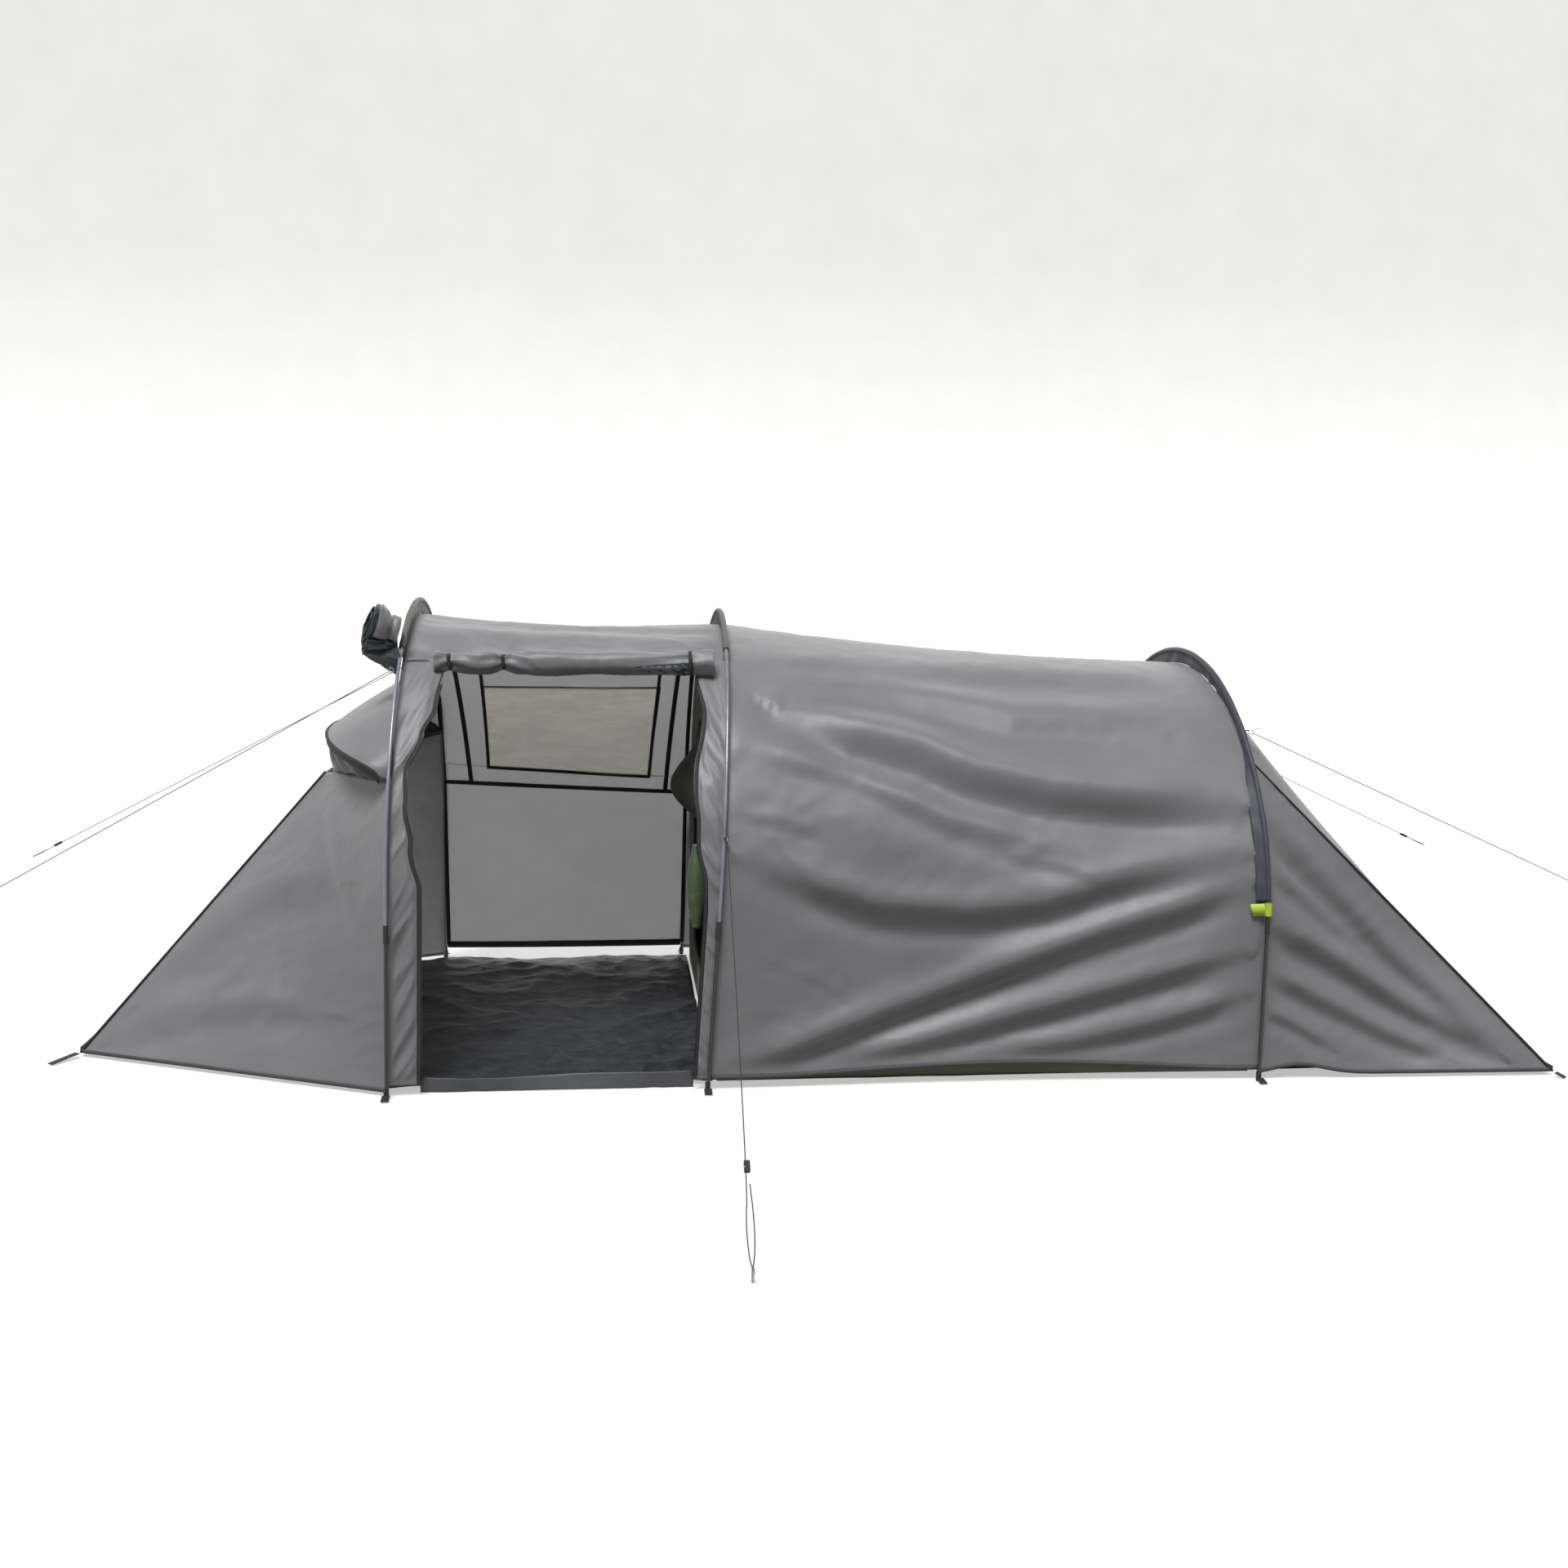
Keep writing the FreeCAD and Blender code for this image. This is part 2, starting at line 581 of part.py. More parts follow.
def add_inner():
    """The inner tent hung inside the fly: tunnel wall, sloping foot end, front wall with its door."""
    thick, base = size("inner_fabric"), size("sheet_thickness") + 0.6
    grid = []
    for u in steps(6):
        line = inner_line(u)
        a = line.share(base)
        grid.append([line.along(mix(a, 1 - a, t)) for t in steps(23)])
    keep_shape("inner_tunnel_wall", panel(grid, thick))
    last = inner_line(1.0)
    a = last.share(base + 20)
    grid = []
    for t in steps(17):
        root = last.along(mix(a, 1 - a, t)) + V(2, 0, 0)
        low = V(size("inner_rear_x"), root.y * 0.94, root.z * size("inner_rear_z") / last.crown)
        grid.append([mix(root, low, s) for s in steps(4)])
    keep_shape("inner_foot_end", panel(grid, thick))
    front = inner_line(0.0).inset(3, 3)
    front.x -= size("seam_gap") + thick
    edge = front.wire(base)
    face = Part.Face(Part.Wire(edge.Edges + [Part.makeLine(edge.OrderedVertexes[-1].Point,
                                                          edge.OrderedVertexes[0].Point)]))
    wall = face.extrude(V(thick, 0, 0))
    half, z0, z1 = size("inner_door_half"), size("inner_door_z0"), size("inner_door_z1")
    hole = Part.makeBox(60, 2 * half, z1 - z0 - half, V(front.x - 30, -half, z0))
    hole = hole.fuse(Part.makeCylinder(half, 60, V(front.x - 30, 0, z1 - half), V(1, 0, 0)))
    keep_shape("inner_front_wall", wall.cut(hole))
    moon = Part.makeCylinder(half - 4, thick, V(front.x - 3, 0, z1 - half), V(1, 0, 0))
    moon = moon.common(Part.makeBox(60, 2 * half, half, V(front.x - 30, -half, z1 - half + size("mesh_rise"))))
    keep_shape("inner_mesh_vent", moon)
    radius = size("inner_roll_diameter") / 2
    roll = Part.makeCylinder(radius, size("inner_roll_length"), V(front.x - radius - 10, -half - 30, z0 + 250))
    keep_shape("inner_door_roll", roll)


# ---------------------------------------------------------------- zips

def add_zips():
    """A zip down each side of the doorway, each with a slider and a swinging pull tab."""
    top, low = size("door_top_z") - size("zip_top_drop"), size("hem_height") + 10
    for name, x in (("front", size("door_front_x")), ("rear", size("door_rear_x"))):
        line = door_line(x)
        away = 1 if name == "front" else -1
        a, b = line.share(low), line.share(top)
        rows = []
        for t in steps(31):
            p = line.along(mix(a, b, t)) + V(away * 1.2, 0, 0)
            rows.append([p + V(away * size("zip_width") * s, 0, 0) for s in (0, 1)])
        keep_shape("door_zip_" + name, panel(rows if name == "front" else rows[::-1], size("fabric")))
        z = low + 26
        spot = line.at(z, NEAR) + V(away * (size("zip_width") / 2 + 1.2), -size("slider_play"), 0)
        turn = FreeCAD.Rotation(V(1, 0, 0), 90)
        block("door_slider_" + name, "Sizes.slider_width", "Sizes.slider_length", "Sizes.slider_height",
              spot, turn)
        keep_shape("door_pull_" + name, pull_tab(spot + V(0, -size("slider_height") - 1.0, 6)))


def pull_tab(top):
    """A flat tab hanging from a round top that turns on the slider, its top at the given point."""
    width, thick = size("pull_width"), size("pull_thickness")
    round_top = Part.makeCylinder(thick / 2, width, top + V(-width / 2, -thick / 2, -thick / 2), V(1, 0, 0))
    flat = Part.makeBox(width, thick, size("pull_length") - thick / 2,
                        top + V(-width / 2, -thick, -size("pull_length")))
    return flat.fuse(round_top).removeSplitter()


# ---------------------------------------------------------------- guylines

GUYS = (
    # name, ring height, side, hoop, end of the straight run, length of the end loop
    ("left_near", 1338, NEAR, 1, V(-2890, -1005, 482), 90),
    ("left_far", 1338, FAR, 1, V(-3030, 985, 478), 90),
    ("right_near", 1150, NEAR, 3, V(3000, -1010, 468), 90),
    ("right_far", 1150, FAR, 3, V(3010, 985, 490), 90),
    ("centre", 820, NEAR, 2, V(-338, -2128, 152), 285),
)


def guy_start(z, side, number):
    """Where a guyline is tied: just outside its hoop, on the side it leaves from."""
    line = HOOPS[number]
    lean_out = {1: V(-30, side * 14, -6), 2: V(8, -34, 0), 3: V(35, side * 17, -8)}[number]
    return line.at(z, side) + lean_out


def guy_route(z, side, number, end, loop):
    """Route of a guyline: one taut run, then its end loop."""
    start = guy_start(z, side, number)
    run = (end - start).normalize()
    across = run.cross(V(0, 0, 1)).normalize() * size("loop_half")
    return [start, end, end + run * loop * 0.5 + across, end + run * loop + across * 0.15,
            end + run * loop * 0.51 - across, end + run * 4 - across * 0.35]


def cord_solid(points, radius):
    """A cord: straight runs joined by arcs tangent to both, printed with their radii."""
    edges, here, radii = [], points[0], []
    for i in range(1, len(points) - 1):
        before, after = points[i] - points[i - 1], points[i + 1] - points[i]
        half = before.getAngle(after) / 2
        cut = 0.45 * min(before.Length, after.Length)
        a = points[i] - V(before).normalize() * cut
        b = points[i] + V(after).normalize() * cut
        r = cut / math.tan(half)
        radii.append(round(r, 1))
        centre_way = (V(after).normalize() - V(before).normalize()).normalize()
        mid = points[i] + centre_way * (r / math.cos(half) - r)
        edges.append(Part.makeLine(here, a))
        edges.append(Part.Arc(a, mid, b).toShape())
        here = b
    edges.append(Part.makeLine(here, points[-1]))
    wire = Part.Wire(edges)
    solid = tube_along(wire, radius)
    share = solid.Volume / (math.pi * radius ** 2 * wire.Length)
    return solid, wire.Length, radii, share


def add_guys():
    """Five guylines with their rings and line runners."""
    rings = []
    radius = size("cord_diameter") / 2
    for name, z, side, number, end, loop in GUYS:
        points = guy_route(z, side, number, end, loop)
        solid, length, radii, fill = cord_solid(points, radius)
        keep_shape("guyline_" + name, solid)
        print("guyline_%s length %.0f mm, bends %s mm, volume share %.3f" % (name, length, radii, fill))
        print("   route", [[round(c, 1) for c in p] for p in points])
        start, run = points[0], (points[1] - points[0]).normalize()
        centre = start - run * (size("ring_radius") + size("ring_wire") / 2 + size("ring_play"))
        axis = run.cross(V(0, 0, 1)).normalize()
        rings.append(Part.makeTorus(size("ring_radius"), size("ring_wire") / 2, centre, axis))
        spot = points[1] - run * size("runner_length") * 1.5
        runner = Part.makeBox(size("runner_length"), size("runner_width"), size("runner_height"),
                              V(-size("runner_length") / 2, -size("runner_width") / 2,
                                -size("runner_height") / 2))
        uprights = [e for e in runner.Edges if abs(e.tangentAt(0).z) > 0.9]
        runner = runner.makeFillet(size("runner_corner"), uprights)
        bore = Part.makeCylinder(size("runner_bore") / 2, size("runner_length") * 2,
                                 V(-size("runner_length"), 0, 0), V(1, 0, 0))
        slot = Part.makeBox(size("runner_length") * 0.3, 4, size("runner_height") * 2,
                            V(-size("runner_length") * 0.15, 3.6, -size("runner_height")))
        turn = FreeCAD.Rotation(run, axis, run.cross(axis), "XYZ")
        keep_shape("guy_runner_" + name, runner.cut(bore).cut(slot), FreeCAD.Placement(spot, turn))
    keep_shape("guy_rings", Part.makeCompound(rings))
    tip, run = points[3], (points[1] - points[0]).normalize()
    spot = V(tip.x, tip.y, 0) - V(run.x, run.y, 0).normalize() * 7.5
    radius = size("peg_diameter") / 2
    peg = Part.makeCylinder(radius, size("peg_height"), spot)
    hook = Part.makeCylinder(radius, size("peg_width"), spot + V(0, radius, size("peg_height") - radius),
                             V(0, -1, 0))
    keep_shape("centre_peg_head", peg.fuse(hook))


def add_tabs():
    """Blue tags at the rear hoop and the webbing that ties each guy ring to its hoop."""
    tabs, tags = [], []
    for name, z, side, number, end, loop in GUYS:
        start = guy_start(z, side, number)
        run = (end - start).normalize()
        hoop_point = HOOPS[number].at(z, side)
        back = start - run * (2 * size("ring_radius") + size("ring_wire") + 2 * size("ring_play"))
        bar = size("sleeve_radius") if number == 3 else size("pole_diameter") / 2
        root = hoop_point + (back - hoop_point).normalize() * (bar + size("seam_gap"))
        tabs.append(strap(root, back, size("strap_width") * 0.6, size("strap_thickness")))
        if number == 3:
            tags.append(strap(start + V(2, 0, 16), start + V(34, 0, 14), size("tag_width"),
                              size("tag_thickness")))
    keep_shape("guy_ring_webbing", Part.makeCompound(tabs))
    keep_shape("rear_hoop_tags", Part.makeCompound(tags))


# ---------------------------------------------------------------- build and export

def export_all():
    """Check every sub-part, then write one STEP file for each."""
    doc.recompute()
    os.makedirs("parts", exist_ok=True)
    for obj in doc.Objects:
        if "Invalid" in obj.State or "Error" in obj.State:
            raise RuntimeError("%s did not compute: %s" % (obj.Label, obj.State))
    for obj in EXPORTS:
        if obj.Shape.isNull() or not obj.Shape.isValid():
            raise RuntimeError("%s has a bad shape" % obj.Label)
        if obj.Shape.Volume <= 0:
            raise RuntimeError("%s has no volume" % obj.Label)
        obj.Shape.exportStep(os.path.join("parts", obj.Label + ".step"))
    print("sub-parts:", len(EXPORTS))


add_poles()
add_ferrules()
add_sleeves()
add_fly()
add_front()
add_tail()
add_rolls()
add_straps()
add_ground()
add_inner()
add_zips()
add_guys()
add_tabs()
export_all()
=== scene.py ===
import math
import bpy
import bmesh
from mathutils import Vector, Matrix, noise


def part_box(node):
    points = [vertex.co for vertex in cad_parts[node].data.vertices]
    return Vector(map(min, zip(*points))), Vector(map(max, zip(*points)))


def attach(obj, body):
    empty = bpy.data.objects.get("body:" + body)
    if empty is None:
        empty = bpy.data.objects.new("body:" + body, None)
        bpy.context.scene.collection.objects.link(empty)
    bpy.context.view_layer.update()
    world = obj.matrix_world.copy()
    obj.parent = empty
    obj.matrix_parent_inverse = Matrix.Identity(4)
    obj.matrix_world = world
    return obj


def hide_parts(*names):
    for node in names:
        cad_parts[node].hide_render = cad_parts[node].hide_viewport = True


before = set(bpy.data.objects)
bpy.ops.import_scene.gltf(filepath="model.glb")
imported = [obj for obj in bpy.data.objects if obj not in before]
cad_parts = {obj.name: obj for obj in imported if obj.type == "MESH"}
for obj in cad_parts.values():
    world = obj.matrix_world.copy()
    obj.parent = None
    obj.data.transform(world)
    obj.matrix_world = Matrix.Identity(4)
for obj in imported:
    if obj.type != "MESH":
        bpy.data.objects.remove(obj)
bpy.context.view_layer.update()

bl_info = {
    "name": "Tunnel Tent",
    "version": (1, 0, 0),
    "blender": (4, 5, 0),
    "location": "View3D > Sidebar > Tent",
    "description": "Builds a three-hoop tunnel tent over its engineering frame",
    "category": "Object",
}

NEAR, FAR = -1, 1
DOOR_TOP, HEM, CORNER = 1.360, 0.034, 0.014
# front wedge: x and half width at its corner, then at the top of its seam
FRONT_X, FRONT_HALF, SEAM_X, SEAM_HALF, SEAM_TOP = -2.475, 0.430, -1.665, 0.260, 0.960
# tail wedge: x and half width at its corner, and where its seam meets the rear hoop
TAIL_X, TAIL_HALF, TAIL_SEAM = 2.525, 0.975, 1.062
# hood: height of its ends, its rim's furthest point and the top of its rear edge
HOOD_SIDE, HOOD_RIM_X, HOOD_RIM_Z, HOOD_ROOT = 1.000, -1.672, 1.107, 1.300
# inner tent: gap to the fly, its ends, and the arched door's half width and centre height
INNER_GAP, INNER_FRONT, INNER_REAR, INNER_REAR_Z = 0.070, -0.330, 2.050, 0.480
INNER_HALF, INNER_MIDDLE = 0.430, 0.690
# heights where the crown sleeves, the rear sleeve and its lime bands begin
CROWN_SLEEVE, REAR_SLEEVE, BAND_LOW, BAND_HIGH = 1.405, 0.610, 0.563, 0.607
# where the door ties sit along the roll, and how much each one squeezes it
TIES = ((0.055, 0.30), (0.245, 0.42), (0.915, 0.16))
SEED = Vector((3.1, 7.7, 1.9))


# ------------------------------------------------------------ settings

class TentSizes(bpy.types.PropertyGroup):
    fold_depth: bpy.props.FloatProperty(
        name="Fold depth", description="Scale of the long folds in the fly", default=1.2, min=0.0, max=2.0)
    crumple: bpy.props.FloatProperty(
        name="Crumple", description="Height of the small creases", default=0.0031, unit="LENGTH")
    fabric: bpy.props.FloatProperty(
        name="Fabric thickness", description="Thickness given to the cloth", default=0.0008, unit="LENGTH")
    # the dark band is binding, and along the sleeping fly painted shade at the hem
    hem_width: bpy.props.FloatProperty(
        name="Hem width", description="Width of the dark binding along the bottom", default=0.013,
        unit="LENGTH")
    cord: bpy.props.FloatProperty(
        name="Guyline diameter", description="Diameter of the guylines", default=0.003, unit="LENGTH")
    thread: bpy.props.FloatProperty(
        name="Thread spacing", description="Spacing of the drawn weave", default=0.0022, unit="LENGTH")


class TentColours(bpy.types.PropertyGroup):
    fly: bpy.props.StringProperty(name="Fly", description="Fly sheet colour, sRGB hex", default="6c6c6e")
    fly_dark: bpy.props.StringProperty(
        name="Fly shade", description="Darker tone in the fly's mottle, sRGB hex", default="5f5f61")
    navy: bpy.props.StringProperty(name="Sleeve", description="Rear sleeve colour", default="30323f")
    olive: bpy.props.StringProperty(name="Crown sleeve", description="Crown sleeve colour", default="5d5d58")
    lime: bpy.props.StringProperty(name="End band", description="Sleeve end band colour", default="a9c238")
    pole: bpy.props.StringProperty(name="Pole", description="Upper pole colour", default="82868f")


# ------------------------------------------------------------ materials

def linear(hex_text):
    """An sRGB hex colour as linear RGBA."""
    channels = [int(hex_text[i:i + 2], 16) / 255 for i in (0, 2, 4)]
    return tuple(c / 12.92 if c <= 0.04045 else ((c + 0.055) / 1.055) ** 2.4 for c in channels) + (1.0,)


def add_node(material, kind, links=(), **settings):
    """Add one node, set its sockets and properties, and link outputs to its inputs."""
    node = material.node_tree.nodes.new(kind)
    for name, value in settings.items():
        key = name.replace("_", " ")
        if key in node.inputs:
            node.inputs[key].default_value = value
        else:
            setattr(node, name, value)
    for output, socket in links:
        material.node_tree.links.new(output, node.inputs[socket])
    return node


def blank(name):
    """A new material with only its shader and output, and the shader itself."""
    material = bpy.data.materials.new(name)
    material.use_nodes = True
    return material, material.node_tree.nodes["Principled BSDF"]


def link(material, output, socket):
    material.node_tree.links.new(output, socket)


def ramp(material, source, stops):
    """A colour ramp with the given (position, hex) stops."""
    node = add_node(material, "ShaderNodeValToRGB", [(source, "Fac")])
    elements = node.color_ramp.elements
    for element, (position, colour) in zip(elements, (stops[0], stops[-1])):
        element.position, element.color = position, linear(colour)
    for position, colour in stops[1:-1]:
        elements.new(position).color = linear(colour)
    return node


def woven(name, light, dark, thread, roughness, bump=0.12, sheen=0.0, mottle=2.2, glow=0.0):
    """Plain woven cloth on the piece's own UV map, which is in metres."""
    material, shader = blank(name)
    uv = add_node(material, "ShaderNodeTexCoord").outputs["UV"]
    warp = add_node(material, "ShaderNodeTexWave", [(uv, "Vector")], bands_direction="X",
                    Scale=0.5 / thread, Distortion=0.6, Detail=1.0)
    weft = add_node(material, "ShaderNodeTexWave", [(uv, "Vector")], bands_direction="Y",
                    Scale=0.5 / thread, Distortion=0.6, Detail=1.0)
    cross = add_node(material, "ShaderNodeMath", operation="MULTIPLY")
    link(material, warp.outputs["Fac"], cross.inputs[0])
    link(material, weft.outputs["Fac"], cross.inputs[1])
    cloud = add_node(material, "ShaderNodeTexNoise", [(uv, "Vector")], Scale=mottle, Detail=6.0,
                     Roughness=0.6)
    tone = ramp(material, cloud.outputs["Fac"], [(0.32, dark), (0.68, light)])
    thread_tone = add_node(material, "ShaderNodeMix", [(tone.outputs["Color"], "A"), (cross.outputs[0], 0)],
                           data_type="RGBA")
    sockets = [s for s in thread_tone.inputs if s.type == "RGBA"]
    link(material, tone.outputs["Color"], sockets[0])
    sockets[1].default_value = tuple(c * 1.12 for c in linear(light)[:3]) + (1.0,)
    out = [s for s in thread_tone.outputs if s.type == "RGBA"][0]
    link(material, out, shader.inputs["Base Color"])
    fine = add_node(material, "ShaderNodeTexNoise", [(uv, "Vector")], Scale=38.0, Detail=5.0)
    rough = add_node(material, "ShaderNodeMapRange", [(fine.outputs["Fac"], "Value")],
                     To_Min=roughness - 0.07, To_Max=roughness + 0.08)
    link(material, rough.outputs["Result"], shader.inputs["Roughness"])
    low = add_node(material, "ShaderNodeBump", [(fine.outputs["Fac"], "Height")], Strength=bump * 0.8,
                   Distance=0.004)
    top = add_node(material, "ShaderNodeBump", [(cross.outputs[0], "Height"), (low.outputs[0], "Normal")],
                   Strength=bump, Distance=0.0006)
    link(material, top.outputs[0], shader.inputs["Normal"])
    shader.inputs["Sheen Weight"].default_value = sheen
    shader.inputs["Sheen Roughness"].default_value = 0.4
    shader.inputs["Subsurface Weight"].default_value = glow
    shader.inputs["Subsurface Radius"].default_value = (1.0, 1.0, 1.0)
    shader.inputs["Subsurface Scale"].default_value = 0.01
    return material


def solid(name, light, dark, roughness, metal=0.0, scale=60.0, bump=0.08, stretch=(1, 1, 1), coat=0.0):
    """A moulded, drawn or coated surface with fine wear, on Object coordinates."""
    material, shader = blank(name)
    place = add_node(material, "ShaderNodeTexCoord").outputs["Object"]
    mapped = add_node(material, "ShaderNodeMapping", [(place, "Vector")], Scale=stretch)
    grain = add_node(material, "ShaderNodeTexNoise", [(mapped.outputs[0], "Vector")], Scale=scale, Detail=6.0)
    tone = ramp(material, grain.outputs["Fac"], [(0.3, dark), (0.7, light)])
    link(material, tone.outputs["Color"], shader.inputs["Base Color"])
    rough = add_node(material, "ShaderNodeMapRange", [(grain.outputs["Fac"], "Value")],
                     To_Min=roughness - 0.06, To_Max=roughness + 0.08)
    link(material, rough.outputs["Result"], shader.inputs["Roughness"])
    dent = add_node(material, "ShaderNodeBump", [(grain.outputs["Fac"], "Height")], Strength=bump,
                    Distance=0.0008)
    link(material, dent.outputs[0], shader.inputs["Normal"])
    shader.inputs["Metallic"].default_value = metal
    shader.inputs["Coat Weight"].default_value = coat
    return material


def netting(name, colour, spacing):
    """Knitted insect mesh: dark threads with real gaps, drawn a little coarser than life."""
    material, shader = blank(name)
    uv = add_node(material, "ShaderNodeTexCoord").outputs["UV"]
    cell = add_node(material, "ShaderNodeTexVoronoi", [(uv, "Vector")], Scale=1.0 / spacing,
                    Randomness=0.0, feature="DISTANCE_TO_EDGE")
    gap = add_node(material, "ShaderNodeMapRange", [(cell.outputs["Distance"], "Value")],
                   From_Min=0.30, From_Max=0.36, To_Min=1.0, To_Max=0.78)
    link(material, gap.outputs["Result"], shader.inputs["Alpha"])
    shader.inputs["Base Color"].default_value = linear(colour)
    cloud = add_node(material, "ShaderNodeTexNoise", [(uv, "Vector")], Scale=9.0, Detail=4.0)
    tone = ramp(material, cloud.outputs["Fac"], [(0.3, colour), (0.7, "3b3d31")])
    link(material, tone.outputs["Color"], shader.inputs["Base Color"])
    shader.inputs["Roughness"].default_value = 0.8
    return material


def film(name):
    """Clear vinyl: soft and slightly wavy, its olive-brown tone painted backlight seen through it."""
    material, shader = blank(name)
    uv = add_node(material, "ShaderNodeTexCoord").outputs["UV"]
    stretched = add_node(material, "ShaderNodeMapping", [(uv, "Vector")], Scale=(1.6, 7.0, 1.0))
    backlight_and_waves = add_node(material, "ShaderNodeTexNoise", [(stretched.outputs[0], "Vector")], Scale=2.2, Detail=7.0,
                    Roughness=0.62)
    # painted backlight: olive-beige tones of daylight seen through the film
    tone = ramp(material, backlight_and_waves.outputs["Fac"], [(0.30, "7a714c"), (0.48, "938a5e"), (0.62, "aca175"),
                                                (0.75, "999066")])
    link(material, tone.outputs["Color"], shader.inputs["Base Color"])
    wave = add_node(material, "ShaderNodeBump", [(backlight_and_waves.outputs["Fac"], "Height")], Strength=0.15,
                    Distance=0.004)
    link(material, wave.outputs[0], shader.inputs["Normal"])
    shader.inputs["Roughness"].default_value = 0.16
    shader.inputs["Alpha"].default_value = 0.88
    shader.inputs["Coat Weight"].default_value = 0.4
    shader.inputs["Subsurface Weight"].default_value = 0.3
    shader.inputs["Subsurface Radius"].default_value = (1.0, 1.0, 1.0)
    shader.inputs["Subsurface Scale"].default_value = 0.01
    return material


def crinkled_film(name, light, dark):
    """Black polythene groundsheet: glossy, with pressed-in creases."""
    material, shader = blank(name)
    place = add_node(material, "ShaderNodeTexCoord").outputs["Object"]
    creases = add_node(material, "ShaderNodeTexVoronoi", [(place, "Vector")], Scale=9.0,
                       feature="DISTANCE_TO_EDGE")
    noise_node = add_node(material, "ShaderNodeTexNoise", [(place, "Vector")], Scale=14.0, Detail=8.0,
                          Roughness=0.65, Distortion=0.8)
    tone = ramp(material, noise_node.outputs["Fac"], [(0.35, dark), (0.7, light)])
    link(material, tone.outputs["Color"], shader.inputs["Base Color"])
    rough = add_node(material, "ShaderNodeMapRange", [(noise_node.outputs["Fac"], "Value")],
                     To_Min=0.22, To_Max=0.5)
    link(material, rough.outputs["Result"], shader.inputs["Roughness"])
    first = add_node(material, "ShaderNodeBump", [(creases.outputs["Distance"], "Height")], Strength=0.35,
                     Distance=0.01)
    sources = [(noise_node.outputs["Fac"], "Height"), (first.outputs[0], "Normal")]
    second = add_node(material, "ShaderNodeBump", sources, Strength=0.7, Distance=0.012)
    link(material, second.outputs[0], shader.inputs["Normal"])
    return material


MATERIALS = {}


def make_materials():
    """Every finish of the tent, each named for the real material."""
    colours, thread = bpy.context.scene.tent_colours, bpy.context.scene.tent_sizes.thread
    make = MATERIALS.__setitem__
    # coated polyester taffeta: satin, faintly blue where it catches the sky, fine weave, soft mottle
    make("fly", woven("PU-coated polyester taffeta", colours.fly, colours.fly_dark, thread, 0.50, sheen=0.25,
                     glow=0.26))
    # the same cloth seen from its coated inner side, a touch lighter and duller
    make("fly_inner", woven("Polyester taffeta, coated side", "6b6967", "605e5c", thread, 0.58, sheen=0.1,
                            glow=0.42))
    # heavier cloth of the crown sleeves, matte and slightly olive
    make("olive", woven("Oxford polyester sleeve", colours.olive, "4a4a46", 0.003, 0.72, 0.3))
    # dark grey tape folded over the long hems; along the sleeping fly the dark band is painted shade at the
    # hem
    make("hem", woven("Grey polyester binding and painted hem shade", "434346", "363639", 0.0025, 0.7, 0.4))
    # deep navy oxford of the rear sleeve
    make("navy", woven("Navy oxford polyester", colours.navy, "262834", 0.003, 0.62, 0.25, sheen=0.2))
    # bright lime grosgrain band
    make("lime", woven("Lime grosgrain", colours.lime, "93ab2b", 0.003, 0.6, 0.3))
    # black polypropylene webbing and binding tape
    make("webbing", woven("Polypropylene webbing", "232325", "161618", 0.0025, 0.75, 0.5))
    # pale blue grosgrain tag
    make("blue", woven("Blue grosgrain", "6fb1cf", "5a9dbd", 0.0025, 0.6, 0.3))
    # light breathable polyester of the inner tent, warm olive-grey
    make("inner", woven("Uncoated polyester inner", "6e6c5b", "5c5b4c", thread, 0.75, sheen=0.1))
    # dark green taffeta of the rolled inner door
    make("green", woven("Green polyester taffeta", "4a5c3c", "35452b", thread, 0.6, sheen=0.2))
    # painted shade: near-black cloth with a cold teal cast, seen in the rolled ends, in the hollows of the
    # rolls and on the gathered vent mesh under the hood
    make("lining", woven("Near-black cloth, painted shade", "2f383b", "1e2426", thread, 0.42, sheen=0.3))
    # insect mesh: dark olive netting that lets some light through
    make("mesh", netting("Polyester insect mesh", "23251d", 0.004))
    # clear vinyl: its olive-beige mottle is painted backlight, daylight seen through it from behind, with
    # faint level waves
    make("film", film("Clear vinyl window, painted backlight"))
    # thin black polythene, shiny along its pressed creases
    make("ground", crinkled_film("Black polythene groundsheet", "30333a", "15171b"))
    # grey coated cloth of the sill
    make("sill", woven("Grey coated sill cloth", "4a4b4f", "3a3b3f", thread, 0.5))
    # drawn fibreglass rod in a blue-grey lacquer: satin, lengthwise grain
    make("pole", solid("Blue-grey lacquered fibreglass", colours.pole, "6d7179", 0.34, 0.25, 40, 0.05,
                       (1, 1, 0.1), 0.3))
    # plain black fibreglass rod
    make("black_pole", solid("Black fibreglass rod", "1d1d20", "121214", 0.38, 0.0, 50, 0.05, (1, 1, 0.1),
                             0.2))
    # injection-moulded nylon fittings
    make("nylon", solid("Moulded black nylon", "1c1c1e", "121213", 0.45, 0.0, 220, 0.15))
    # galvanised wire and pins
    make("steel", solid("Galvanised steel wire", "a6a8ab", "85878b", 0.35, 0.9, 120, 0.1))
    # braided polyester guyline
    make("cord", woven("Braided polyester cord", "5f5d59", "4a4845", 0.004, 0.8, 0.6))
    # the same cord in charcoal
    make("dark_cord", woven("Dark braided cord", "3a3a3a", "262626", 0.004, 0.8, 0.6))
    # coil zip tape and its nylon coil
    make("zip", woven("Coil zip tape", "1e1e20", "131315", 0.0015, 0.7, 0.4))
    # matt white studio floor, lit from within so that it stays pale
    make("floor", solid("Studio floor paint", "a8a8a7", "a2a2a1", 0.9, 0.0, 1.5, 0.0))
    studio = MATERIALS["floor"].node_tree.nodes["Principled BSDF"]
    studio.inputs["Emission Color"].default_value = linear("fbfbf8")
    studio.inputs["Emission Strength"].default_value = 0.50


# ------------------------------------------------------------ shape of the tent

